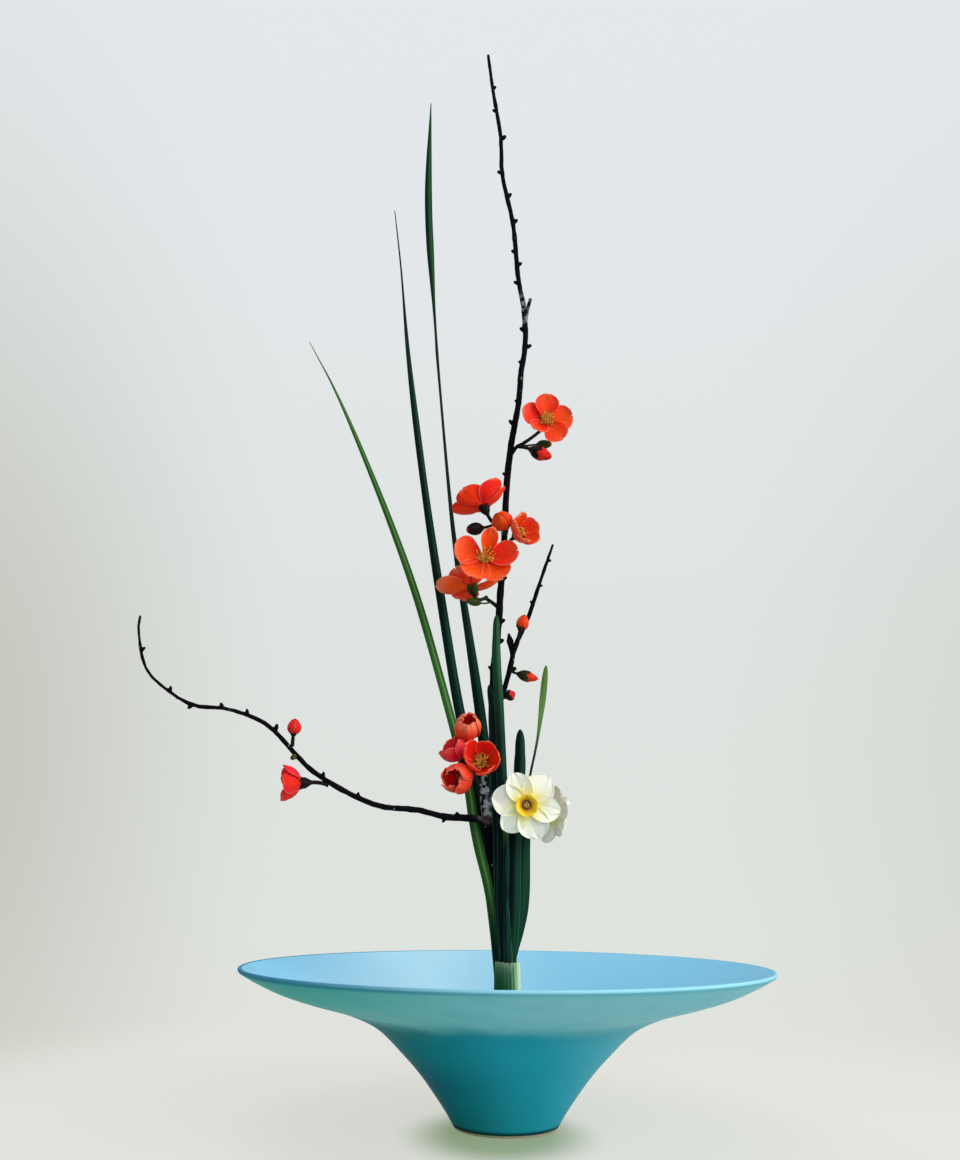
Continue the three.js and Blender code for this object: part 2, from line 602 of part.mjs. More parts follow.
// Closed and half-open buds: a stalk from the bark, and an egg-shaped bud at its end.
const BUDS = {
  half_open: { points: [[-1, 10, 395], [-2.5, 2, 393], [-3, -4, 393]], centre: [-3.5, -7, 398],
    length: 17, width: 14 },
  top_orange: { points: [[10, 8.5, 467], [16, 0, 461], [22, -2, 458]], centre: [28, -5, 454],
    length: 14, width: 11 },
  top_green: { points: [[8, 10, 466], [14, 12, 469], [24, 8, 468]], centre: [31, 4, 466.5],
    length: 8, width: 6 },
  fan_brown: { points: [[-5, 9, 404], [-14, 8, 399], [-20, 4, 396.5]], centre: [-25, 1, 396.5],
    length: 10, width: 8 },
  lower_green: { points: [[-10, 4, 342], [-14, 1, 339], [-20, -3, 338]], centre: [-25, -5, 338.5],
    length: 7, width: 5 },
  twig_orange: { points: [[8, 8, 312], [9, 3, 314], [9.5, 0, 317]], centre: [11.5, -1, 323],
    length: 14, width: 9.5 },
  twig_stalk: { points: [[2, 9, 289], [8, 7, 290], [12, 5, 287]], centre: [17, 4, 285.5],
    length: 12, width: 7.5 },
  twig_low: { points: [[-4, 9, 270], [-2, 6, 270], [-1, 5, 270.5]], centre: [2.5, 3.5, 272],
    length: 9, width: 7.5 },
  arm_red: { points: [[-142, -38, 228], [-140, -38, 232], [-140.5, -39, 236]], centre: [-140, -40, 242],
    length: 10, width: 9.5 },
  arm_green: { points: [[-134, -36, 219], [-136, -38, 219.5], [-137, -39, 220]],
    centre: [-138, -41, 221], length: 6, width: 4 },
};

function quinceBud(name, { points, centre, length, width }) {
  const tip = new THREE.Vector3(...centre);
  const outward = tip.clone().sub(new THREE.Vector3(...points[points.length - 1])).normalize();
  const egg = new THREE.SphereGeometry(1, 7, 6);
  egg.scale(width / 2, length / 2, width / 2);
  egg.applyQuaternion(new THREE.Quaternion().setFromUnitVectors(new THREE.Vector3(0, 1, 0), outward));
  egg.translate(...tip);
  const stalk = stem([...points, centre], [STALK_RADIUS * 0.8, STALK_RADIUS, STALK_RADIUS * 1.4],
    { sides: 5, rings: 5 });
  const grown = solidOf(join([egg, stalk])).subtract(BARK);
  piece(`quince_bud_${name}`, geometryOf(grown), "quince_petal");
}

// ---------------------------------------------------------------- assembly

bowl();
kenzan();
quinceBranches();
swordLeaves();
narcissusSheath();
narcissusLeaves();
narcissusScape();
Object.entries(NARCISSUS).forEach(([name, flower]) => narcissusFlower(name, flower));
Object.entries(BLOOMS).forEach(([name, bloom]) => quinceBloom(name, bloom));
Object.entries(BUDS).forEach(([name, bud]) => quinceBud(name, bud));

export default arrangement;
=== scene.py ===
"""The visible surfaces of an ikebana arrangement, built round its construction frame.

Flowering quince, narcissus and three sword leaves stand in a pin holder on the floor of a wide
pedestal bowl. Everything is in metres, +Z is up, and the arrangement faces -Y.
"""

import math

import bpy
import numpy as np
from bpy.props import FloatProperty, FloatVectorProperty, IntProperty, PointerProperty
from mathutils import Matrix, Vector, noise


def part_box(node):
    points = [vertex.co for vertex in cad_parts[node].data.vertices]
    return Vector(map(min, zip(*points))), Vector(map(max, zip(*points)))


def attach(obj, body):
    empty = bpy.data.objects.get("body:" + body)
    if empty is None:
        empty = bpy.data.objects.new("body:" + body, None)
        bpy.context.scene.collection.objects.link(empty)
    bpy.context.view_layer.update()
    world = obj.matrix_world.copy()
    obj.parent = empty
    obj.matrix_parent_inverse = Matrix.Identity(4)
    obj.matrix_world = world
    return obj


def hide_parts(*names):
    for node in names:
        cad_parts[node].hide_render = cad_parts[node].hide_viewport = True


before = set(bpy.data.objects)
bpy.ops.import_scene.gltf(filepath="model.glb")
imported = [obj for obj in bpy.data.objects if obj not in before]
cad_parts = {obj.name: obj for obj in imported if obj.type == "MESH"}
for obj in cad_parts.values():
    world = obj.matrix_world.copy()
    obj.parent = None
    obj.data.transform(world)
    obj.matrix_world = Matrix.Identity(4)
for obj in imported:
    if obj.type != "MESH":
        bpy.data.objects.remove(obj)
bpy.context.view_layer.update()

bl_info = {
    "name": "Ikebana arrangement",
    "version": (1, 0, 0),
    "blender": (4, 5, 0),
    "location": "3D View > Sidebar > Ikebana",
    "description": "Builds the visible surfaces of an ikebana arrangement round its construction frame",
    "category": "Add Mesh",
}

MM = 0.001
BODY = "root"


# ---------------------------------------------------------------- settings


def linear(code):
    """The linear colour of a display colour written as six hex digits."""
    levels = [int(code[place:place + 2], 16) / 255 for place in (0, 2, 4)]
    return tuple(((c + 0.055) / 1.055) ** 2.4 if c > 0.04045 else c / 12.92 for c in levels)


def colour(name, code, description):
    """A colour setting."""
    return FloatVectorProperty(
        name=name, description=description, subtype="COLOR", size=3, min=0, max=1, default=linear(code)
    )


def length(name, size, description):
    """A length setting, in metres."""
    return FloatProperty(
        name=name, description=description, unit="LENGTH", min=0, precision=5, default=size
    )


def share(name, value, description):
    """A setting from 0 to 1."""
    return FloatProperty(name=name, description=description, subtype="FACTOR", min=0, max=1, default=value)


def number(name, value, description):
    """A whole number setting."""
    return IntProperty(name=name, description=description, min=1, default=value)


class BowlSettings(bpy.types.PropertyGroup):
    """Glaze and clay of the bowl, with the light and shade painted on the glaze."""

    inside: colour("Inside", "86caec", "Glaze on the inside of the dish")
    # painted light on the inside's -X slope, which faces the key light
    inside_lit: colour("Pale inside", "b8e2f4", "Glaze where it is thinner on the inside")
    # also the painted light on the pedestal's +X side; under the dish this glaze is paler partly as painted
    # light bounced up from the floor
    underside: colour("Underside", "78c0cc", "Glaze under the dish")
    pedestal: colour("Pedestal", "2296ae", "Glaze on the pedestal")
    # painted shade on the pedestal's -X side, away from the key light
    pedestal_shaded: colour("Green pedestal", "006e76", "Glaze on the pedestal's greener side")
    # painted shade under the dish on its -X side
    underside_shaded: colour("Green underside", "36a29c", "Glaze under the dish on its greener side")
    # darker low on the pedestal; towards -X this darkening is painted shade
    pedestal_darkest: colour("Deep pedestal", "003c58", "Thicker glaze low on the pedestal")
    # the dark line under the lip, darkest towards -X as painted shade
    edge: colour("Edge", "2c8098", "Thin dark line under the lip")
    # painted shade on the lip's -X side
    lip_shaded: colour("Dark lip", "428eb2", "Lip on the greener side")
    # painted highlight on the lip; also the paler patches inside the dish
    lip: colour("Lip", "92cee2", "Glaze that has thinned on the lip")
    clay: colour("Bare clay", "a59c8a", "Unglazed clay of the foot")
    segments: number("Segments", 224, "Faces round the bowl")
    speck_size: length("Speck spacing", 5 * MM, "Distance between the pits in the glaze")


class HolderSettings(bpy.types.PropertyGroup):
    """Metals of the pin holder."""

    lead: colour("Lead", "5d6163", "Cast lead base")
    brass: colour("Brass", "b08d4a", "Brass pins")
    pin_radius: length("Pin radius", 0.75 * MM, "Radius of a pin where it leaves the base")
    bevel: length("Bevel", 0.9 * MM, "Rounding of the base's edges")


class BarkSettings(bpy.types.PropertyGroup):
    """Bark of the quince branches."""

    dark: colour("Dark bark", "08060c", "Young bark")
    brown: colour("Brown bark", "0e0c16", "Older, drier bark")
    lichen: colour("Lichen", "c8ccd0", "Patches of lichen")
    cut: colour("Cut wood", "6e4c48", "Wood where a side shoot was cut off")
    voxel: length("Voxel", 0.5 * MM, "Step of the mesh that the bark is carved in")
    ridges: length("Ridges", 0.16 * MM, "Height of the ridges that run along the bark")
    lumps: length("Lumps", 0.34 * MM, "Height of the swellings of the stem")
    tip_growth: length("Tip growth", 0.3 * MM, "Extra radius of the tall branch near its tip")


class LeafSettings(bpy.types.PropertyGroup):
    """Colours and sections of the long leaves."""

    sword: colour("Sword leaf", "001c18", "Blade of a sword leaf")
    sword_fresh: colour("Fresh sword leaf", "2c6026", "Blade of the youngest sword leaf")
    # partly painted light on the half of a leaf that faces the key light
    sword_stripe: colour("Sword stripe", "084230", "Paler stripe beside a sword leaf's keel")
    sword_tip: colour("Sword tip", "2c5c2c", "Upper part of the tall sword leaf")
    fresh_stripe: colour("Fresh stripe", "62944c", "Paler stripe of the youngest sword leaf")
    strap: colour("Narcissus leaf", "001418", "Blade of a narcissus leaf")
    # partly painted light on the leaf half that faces the key light; also pale streaks on the stalks
    strap_light: colour("Narcissus leaf light", "064028", "Paler half of a narcissus leaf")
    strap_young: colour("Young narcissus leaf", "587e38", "Upper part of the thin outer leaf")
    strap_top: colour("Narcissus leaf top", "143c26", "Upper part of the front leaf")
    strap_top_light: colour("Narcissus leaf top light", "30643a", "Its paler half")
    margin: colour("Margin", "2c6440", "Pale line along a narcissus leaf's edge")
    thickness: length("Thickness", 0.9 * MM, "Thickness of a leaf at its keel")
    edge: length("Edge", 0.3 * MM, "Thickness of a leaf at its edge")


class SheathSettings(bpy.types.PropertyGroup):
    """The pale leaf base round the narcissus."""

    dark: colour("Green side", "0c4a28", "Streaks on the green side")
    pale: colour("Pale side", "8cc090", "Streaks on the pale side")
    white: colour("White", "dcecc8", "Bleached edge")
    fray: length("Fray", 1.6 * MM, "Depth of the torn top edge")


class NarcissusSettings(bpy.types.PropertyGroup):
    """Colours and sizes of the narcissus flowers."""

    tepal: colour("Tepal", "fffae4", "Tepals")
    shade: colour("Tepal base", "faf086", "Tepals where they meet the cup")
    corona: colour("Cup", "fbd836", "Cup")
    corona_deep: colour("Cup depth", "f0a412", "Inside of the cup, low down")
    throat: colour("Throat", "7a4606", "Opening of the tube")
    anther: colour("Anther", "fbf0b8", "Pollen on the anthers")
    tube: colour("Tube", "c4d49a", "Tube behind the tepals")
    bract: colour("Bract", "8f8352", "Dry bract at the top of the stalk")
    tepal_width: share("Tepal width", 0.9, "Width of a tepal, as a part of its length")


class QuinceSettings(bpy.types.PropertyGroup):
    """Colours and sizes of the quince flowers."""

    orange: colour("Orange", "ff540a", "Petals of the most orange flowers")
    scarlet: colour("Scarlet", "f42814", "Petals of the reddest flowers")
    crimson: colour("Crimson", "ec2044", "Petals of the pinkest flowers")
    rim: colour("Rim", "f88868", "Thin edge of a petal")
    blush: colour("Blush", "fcb890", "Pale tips of the palest petals")
    claw: colour("Claw", "f0b060", "Foot of a petal")
    # also the painted shade towards the petals' feet
    vein: colour("Vein", "b41008", "Veins and backs of the petals")
    calyx: colour("Calyx", "16060c", "Cup below the petals")
    sepal: colour("Sepal", "38501c", "Tips of the calyx")
    filament: colour("Filament", "e6cf6a", "Threads of the stamens")
    pollen: colour("Pollen", "d9b32c", "Heads of the stamens")
    throat: colour("Throat", "3a2408", "Middle of the flower")
    thickness: length("Petal thickness", 0.35 * MM, "Thickness of a petal")
    width: share("Petal width", 1.0, "Width of a petal, as a part of its length")
    bud_width: share("Bud width", 0.88, "Width of a bud against its frame node")
    stamens: number("Stamens", 34, "Stamens in a flower")


class StudioSettings(bpy.types.PropertyGroup):
    """Floor, light and camera."""

    floor: colour("Floor", "e6e6de", "Floor round the bowl")
    floor_shade: colour("Floor shade", "92a67e", "Soft shade beside the foot")
    above: colour("Upper air", "e4e8ec", "Background overhead")
    level: colour("Level air", "dfe3df", "Background at eye level")
    below: colour("Lower air", "e2e4da", "Background below the eye")
    floor_radius: length("Floor radius", 6.0, "Size of the floor")
    corner: colour("Dim air", "c3c5bb", "Background on the darker side")
    air_light: share("Air light", 0.5, "How much the background lights the scene")
    floor_glow: share("Floor glow", 0.775, "Light from the floor itself, which keeps shadows faint")
    floor_lit: share("Floor reflection", 0.16, "How much of the lamps' light the floor returns")
    clear_from: length("Fade from", 0.2, "Distance at which the floor starts to fade")
    clear_to: length("Fade to", 0.75, "Distance at which the floor has faded")


class IkebanaSettings(bpy.types.PropertyGroup):
    """All settings of the arrangement."""

    bowl: PointerProperty(type=BowlSettings)
    holder: PointerProperty(type=HolderSettings)
    bark: PointerProperty(type=BarkSettings)
    leaf: PointerProperty(type=LeafSettings)
    sheath: PointerProperty(type=SheathSettings)
    narcissus: PointerProperty(type=NarcissusSettings)
    quince: PointerProperty(type=QuinceSettings)
    studio: PointerProperty(type=StudioSettings)


# ---------------------------------------------------------------- shader trees


class Wire:
    """A socket of a shader tree that can be used in plain arithmetic."""

    def __init__(self, tree, socket):
        self.tree = tree
        self.socket = socket

    def math(self, operation, *others):
        """A Math node on this socket and the others."""
        return self.tree.node("ShaderNodeMath", {"operation": operation}, dict(enumerate((self, *others))))

    def __add__(self, other):
        return self.math("ADD", other)

    def __radd__(self, other):
        return self.math("ADD", other)

    def __sub__(self, other):
        return self.math("SUBTRACT", other)

    def __rsub__(self, other):
        return self.tree.node("ShaderNodeMath", {"operation": "SUBTRACT"}, {0: other, 1: self})

    def __mul__(self, other):
        return self.math("MULTIPLY", other)

    def __rmul__(self, other):
        return self.math("MULTIPLY", other)

    def __truediv__(self, other):
        return self.math("DIVIDE", other)

    def __abs__(self):
        return self.math("ABSOLUTE")

    def between(self, low, high):
        """0 below low, 1 above high, and smooth between them."""
        limits = {"Value": self, "From Min": low, "From Max": high}
        return self.tree.node("ShaderNodeMapRange", {"interpolation_type": "SMOOTHSTEP"}, limits)


class ShaderTree:
    """Nodes of a material or of the world."""

    def __init__(self, owner):
        owner.use_nodes = True
        self.nodes = owner.node_tree.nodes
        self.links = owner.node_tree.links

    def node(self, kind, settings=None, inputs=None, output=0):
        """A node of that type. Its settings are set first, then the values or links of its sockets."""
        made = self.nodes.new(kind)
        for name, value in (settings or {}).items():
            setattr(made, name, value)
        for place, value in (inputs or {}).items():
            self.connect(made.inputs[place], value)
        return Wire(self, made.outputs[output])

    def connect(self, socket, value):
        """Links a wire to a socket, or sets the socket to a plain value."""
        if isinstance(value, Wire):
            self.links.new(value.socket, socket)
        elif socket.type == "RGBA":
            socket.default_value = (*value, 1)
        else:
            socket.default_value = value

    def mix(self, amount, low, high):
        """A colour between two colours."""
        return self.node("ShaderNodeMix", {"data_type": "RGBA"}, {0: amount, 6: low, 7: high}, output=2)


class Finish(ShaderTree):
    """A material with one surface shader."""

    def __init__(self, name):
        self.material = bpy.data.materials.new(name)
        super().__init__(self.material)
        self.shader = self.nodes["Principled BSDF"]

    def place(self, stretch=(1, 1, 1)):
        """Where a point lies on the object, in metres, each axis multiplied by stretch."""
        plain = self.node("ShaderNodeTexCoord", output="Object")
        return self.node("ShaderNodeVectorMath", {"operation": "MULTIPLY"}, {0: plain, 1: stretch})

    def distance(self, point, stretch=(1, 1, 1)):
        """How far a point of the object lies from that point, in metres."""
        ends = {0: self.place(stretch), 1: point}
        return self.node("ShaderNodeVectorMath", {"operation": "DISTANCE"}, ends, "Value")

    def axis(self, name):
        """One coordinate, in metres."""
        return self.node("ShaderNodeSeparateXYZ", inputs={0: self.place()}, output=name)

    def mark(self, name):
        """A value that the mesh carries at each point."""
        return self.node("ShaderNodeAttribute", {"attribute_name": name}, output="Fac")

    def noise(self, scale, detail=3, stretch=(1, 1, 1)):
        """A soft random pattern from 0 to 1, with scale spots to the metre."""
        sockets = {"Vector": self.place(stretch), "Scale": scale, "Detail": detail}
        return self.node("ShaderNodeTexNoise", None, sockets)

    def cells(self, scale, stretch=(1, 1, 1)):
        """Distance to the nearest of many scattered points, in cells."""
        return self.node("ShaderNodeTexVoronoi", None, {"Vector": self.place(stretch), "Scale": scale})

    def bump(self, height, distance):
        """A normal for a height from 0 to 1 that stands for a distance in metres."""
        return self.node("ShaderNodeBump", None, {"Height": height, "Distance": distance})

    def surface(self, **sockets):
        """Sets the shader's sockets. Their names are written with underscores."""
        for name, value in sockets.items():
            socket = name.replace("_", " ").title().replace("Ior", "IOR")
            self.connect(self.shader.inputs[socket], value)
        return self.material


# ---------------------------------------------------------------- reading the frame


def corners(node):
    """The different points of a CAD node's mesh."""
    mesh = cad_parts[node].data
    points = np.empty(len(mesh.vertices) * 3)
    mesh.vertices.foreach_get("co", points)
    return np.unique(points.reshape(-1, 3).round(6), axis=0)


def middle_and_size(node):
    """The middle and the sides of a CAD node's box."""
    low, high = (np.array(corner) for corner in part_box(node))
    return (low + high) / 2, high - low


def unit(vectors):
    """Vectors of length 1."""
    return vectors / np.maximum(np.linalg.norm(vectors, axis=-1, keepdims=True), 1e-12)


def rings(node, spacing=3 * MM):
    """The rings of a blade: middles, directions of the width, and widths, from the foot up."""
    points = corners(node)
    points = points[np.argsort(points[:, 2])]
    gaps = np.flatnonzero(np.diff(points[:, 2]) > spacing) + 1
    found = []
    for ring in np.split(points, gaps):
        between = np.linalg.norm(ring[:, None] - ring[None], axis=2)
        first, second = np.unravel_index(between.argmax(), between.shape)
        across = ring[second] - ring[first]
        if found and np.dot(across, found[-1][1]) < 0 or not found and across[0] < 0:
            across = -across
        found.append(((ring[first] + ring[second]) / 2, unit(across), between.max()))
    middles, directions, widths = zip(*found)
    return np.array(middles), np.array(directions), np.array(widths)


def axis_of(points):
    """Foot and direction of a tapered bar that widens upwards."""
    middle = points.mean(0)
    _, _, directions = np.linalg.svd(points - middle)
    axis = directions[0]
    along = (points - middle) @ axis
    if np.ptp(points[along > 0] @ directions[1]) < np.ptp(points[along < 0] @ directions[1]):
        axis = -axis
        along = -along
    return middle + axis * along.min(), axis


# ---------------------------------------------------------------- mesh parts


def smooth_rows(values, count):
    """Rows spread evenly along a smooth curve through the given rows."""
    rows = np.asarray(values, float).reshape(len(values), -1)
    place = np.linspace(0, len(rows) - 1, count)
    start = np.minimum(place.astype(int), len(rows) - 2)
    t = (place - start)[:, None]
    padded = np.vstack([2 * rows[:1] - rows[1:2], rows, 2 * rows[-1:] - rows[-2:-1]])
    before, here, after, beyond = (padded[start + step] for step in range(4))
    curve = 2 * here + (after - before) * t
    curve += (2 * before - 5 * here + 4 * after - beyond) * t**2
    curve += (3 * here - before - 3 * after + beyond) * t**3
    return (curve / 2).reshape((count, *np.shape(values)[1:]))


def around(count):
    """Angles spread evenly round a circle."""
    return np.linspace(0, 2 * math.pi, count, endpoint=False)


def round_grid(radius, angle, height):
    """Points at those radii, angles and heights round Z."""
    radius, angle, height = np.broadcast_arrays(radius, angle, height)
    return np.stack([radius * np.cos(angle), radius * np.sin(angle), height], -1)


def bowed(start, pull, end, count):
    """Points of a curve from start to end that is drawn towards pull."""
    t = np.linspace(0, 1, count)[:, None]
    return (1 - t) ** 2 * start + 2 * t * (1 - t) * pull + t**2 * end


def grid_faces(rows, columns, wrap=False):
    """Faces between the points of a grid. With wrap, the last column meets the first."""
    steps = np.arange(rows - 1), np.arange(columns if wrap else columns - 1)
    row, column = np.meshgrid(*steps, indexing="ij")
    beside = (column + 1) % columns
    here, under = row * columns, (row + 1) * columns
    faces = np.stack([here + column, under + column, under + beside, here + beside], -1)
    return faces.reshape(-1, 4).tolist()


class Shape:
    """A mesh gathered from closed parts. Marks are values that the points carry for the finish."""

    def __init__(self):
        self.points = []
        self.faces = []
        self.skins = []
        self.marks = []
        self.count = 0

    def add(self, points, faces, skin=0, **marks):
        """Adds a part. skin is the number of its finish, or one number for each face."""
        points = np.asarray(points, float).reshape(-1, 3)
        self.points.append(points)
        self.faces += [[corner + self.count for corner in face] for face in faces]
        self.skins += np.broadcast_to(skin, len(faces)).tolist()
        self.marks.append({name: np.broadcast_to(value, len(points)) for name, value in marks.items()})
        self.count += len(points)

    def piece(self, name, skins, slot, nodes, sharp=50):
        """Makes the object, which stands for those CAD nodes."""
        mesh = bpy.data.meshes.new(name)
        mesh.from_pydata(np.vstack(self.points).tolist(), [], self.faces)
        for skin in skins:
            mesh.materials.append(skin)
        mesh.polygons.foreach_set("material_index", self.skins)
        for mark in sorted({mark for marks in self.marks for mark in marks}):
            parts = zip(self.marks, self.points)
            values = [marks.get(mark, np.zeros(len(points))) for marks, points in parts]
            held = mesh.attributes.new(mark, "FLOAT", "POINT")
            held.data.foreach_set("value", np.concatenate(values).astype(np.float32))
        mesh.shade_smooth()
        mesh.set_sharp_from_angle(angle=math.radians(sharp))
        piece = bpy.data.objects.new(name, mesh)
        bpy.context.scene.collection.objects.link(piece)
        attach(piece, BODY)
        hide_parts(*nodes)


def plate(surface, thickness):
    """A closed plate on a grid of points: first the front face's points, then the back's."""
    rows, columns = surface.shape[:2]
    down, over = np.gradient(surface, axis=0), np.gradient(surface, axis=1)
    half = np.broadcast_to(np.asarray(thickness) / 2, (rows, columns))[..., None]
    half = unit(np.cross(down, over)) * half
    front, back = surface + half, surface - half
    count = rows * columns
    faces = grid_faces(rows, columns)
    faces += [[corner + count for corner in reversed(face)] for face in grid_faces(rows, columns)]
    index = np.arange(count).reshape(rows, columns)
    loop = [*index[0], *index[1:, -1], *index[-1, -2::-1], *index[-2:0:-1, 0]]
    for here, after in zip(loop, [*loop[1:], loop[0]]):
        faces.append([int(here), int(after), int(after) + count, int(here) + count])
    return np.concatenate([front.reshape(-1, 3), back.reshape(-1, 3)]), faces


def twice(values, grid):
    """Values spread over a grid, for both faces of the plate or sleeve on it."""
    return np.tile(np.broadcast_to(values, grid.shape[:2]).reshape(-1), 2)


def faced(grid):
    """1 on the first face of the plate or sleeve on a grid, and 0 on the second."""
    return np.repeat([1.0, 0.0], grid.shape[0] * grid.shape[1])


def sleeve(outer, inner):
    """A closed wall between two grids of points. Rows go up, and columns run round anticlockwise."""
    rows, columns = outer.shape[:2]
    count = rows * columns
    walls = grid_faces(rows, columns, wrap=True)
    faces = [face[::-1] for face in walls]
    faces += [[corner + count for corner in face] for face in walls]
    for row, flip in ((0, True), (rows - 1, False)):
        for column in range(columns):
            here, after = row * columns + column, row * columns + (column + 1) % columns
            face = [here, after, after + count, here + count]
            faces.append(face[::-1] if flip else face)
    return np.concatenate([outer.reshape(-1, 3), inner.reshape(-1, 3)]), faces


def capped(rows_round, start, end):
    """A closed bar on a grid whose columns run round it, with a point at each end."""
    rows, columns = rows_round.shape[:2]
    count = rows * columns
    faces = [face[::-1] for face in grid_faces(rows, columns, wrap=True)]
    for column in range(columns):
        beside = (column + 1) % columns
        faces.append([count, beside, column])
        faces.append([count + 1, count - columns + column, count - columns + beside])
    return np.vstack([rows_round.reshape(-1, 3), start, end]), faces


def turned(profile, segments):
    """A closed solid turned about Z. The outline starts and ends on the axis and runs anticlockwise."""
    profile = np.asarray(profile)
    radius, height = profile[1:-1, :1], profile[1:-1, 1:]
    ends = [0, 0, profile[0, 1]], [0, 0, profile[-1, 1]]
    return capped(round_grid(radius, around(segments), height), *ends)


def tube(middles, radii, sides):
    """A closed round bar along a route."""
    middles = np.asarray(middles, float)
    radii = np.broadcast_to(radii, len(middles))
    tangents = unit(np.gradient(middles, axis=0))
    side = unit(np.cross(tangents[0], [0.31, 0.87, 0.39]))
    across = []
    for tangent in tangents:
        side = unit(side - tangent * (side @ tangent))
        across.append(side)
    across = np.array(across)
    upright = np.cross(tangents, across)
    angle = around(sides)[None, :, None]
    outward = np.cos(angle) * across[:, None] + np.sin(angle) * upright[:, None]
    return capped(middles[:, None] + radii[:, None, None] * outward, middles[0], middles[-1])


def egg(middle, radii, turn=np.eye(3), sides=8, levels=6):
    """An egg with those half sizes, turned by a matrix."""
    angle = np.linspace(0, math.pi, levels + 1)
    profile = np.stack([np.sin(angle), -np.cos(angle)], 1)
    points, faces = turned(profile, sides)
    return points * radii @ turn.T + middle, faces


def facing(direction):
    """The matrix that turns +Z to a direction by the shortest way."""
    return np.array(Vector((0, 0, 1)).rotation_difference(Vector(direction)).to_matrix())


def ramp(low, high, values):
    """0 below low, 1 above high, and smooth between them."""
    t = np.clip((np.asarray(values) - low) / (high - low), 0, 1)
    return t * t * (3 - 2 * t)


# ---------------------------------------------------------------- bowl

# Outside of the bowl, radius and height, from the foot to just under the lip.
BOWL_OUTSIDE = np.array([
    (33.2, 1.5), (37.6, 8.5), (44.5, 18), (54, 30), (65.4, 42), (83.3, 58), (105, 67.8), (128, 74.2),
    (146, 80), (160.5, 86.6), (168.9, 91.2),
]) * MM
# Inside of the dish from the lip to the middle.
BOWL_INSIDE = np.array([
    (167.2, 93.5), (157, 89.8), (145, 86), (114, 77), (84, 67), (58, 57.4), (40, 54), (20, 54),
]) * MM
# The flat foot, bare of glaze, with a rounded edge.
BOWL_FOOT = np.array([(10, 0), (31.6, 0), (32.4, 0.2), (32.8, 0.6), (32.7, 1.2)]) * MM
BOWL_LIP = np.array([(169.8, 92.2), (170, 93.1), (169.7, 93.7), (169, 94), (168.2, 93.9)]) * MM
OUT_OF_TRUE = 0.0012  # how far the dish strays from round, as a part of its radius
OUT_OF_TRUE_FROM, OUT_OF_TRUE_TO = 50 * MM, 90 * MM  # heights between which it starts to stray
GLAZE_LINE = 3.4 * MM  # a near-black band just above the bare clay, partly painted shadow under the foot's edge and partly dark glaze
GLAZE_DRIFT = 12 * MM, 20 * MM  # how far the glaze's changes of colour wander, upwards and sideways
SHADED_SIDE = (-70 * MM, 10 * MM)  # painted shade: the glaze turns darker and greener towards -X, away from the key light
BROAD_SHADED_SIDE = (-140 * MM, 20 * MM)  # the same painted shade under the dish and on the lip
LIT_SIDE = (15 * MM, 95 * MM)  # painted light: the pedestal turns paler towards +X, where the key light falls
LIT_INSIDE_MIDDLE, LIT_INSIDE_REACH = -60 * MM, 110 * MM  # painted light: where the inside is palest, on its -X slope that faces the key light, and how far that reaches
DARK_LOW_BAND = (26 * MM, 52 * MM)  # heights between which the pedestal's darker low band ends
TRANSITION = (61 * MM, 72 * MM)  # heights between which the pedestal turns into the dish
EDGE_LINE = (90 * MM, 91.6 * MM)  # heights between which the dark line under the lip starts; its painted shade is strongest towards -X
LIP_LINE = (92 * MM, 93 * MM)  # heights between which the painted highlight on the lip starts
# near-black foot line, partly painted shadow under the foot's edge
FOOT_LINE_DARK = (0.002, 0.012, 0.016)
STREAKED_GLAZE = (0.002, 0.22, 0.27)
PITTED_GLAZE = (0.03, 0.09, 0.10)
CLAY_GRIT = (0.16, 0.11, 0.07)


def bowl_outline():
    """Outline of the bowl and the part each point belongs to: 0 clay, 1 outside, 2 lip, 3 inside."""
    outside = smooth_rows(BOWL_OUTSIDE, 84)
    inside = smooth_rows(BOWL_INSIDE, 60)
    parts = [BOWL_FOOT, outside, BOWL_LIP, inside]
    kinds = np.concatenate([np.full(len(part), kind) for kind, part in enumerate(parts)])
    profile = np.vstack([[0, 0], *parts, [0, BOWL_INSIDE[-1, 1]]])
    return profile, kinds


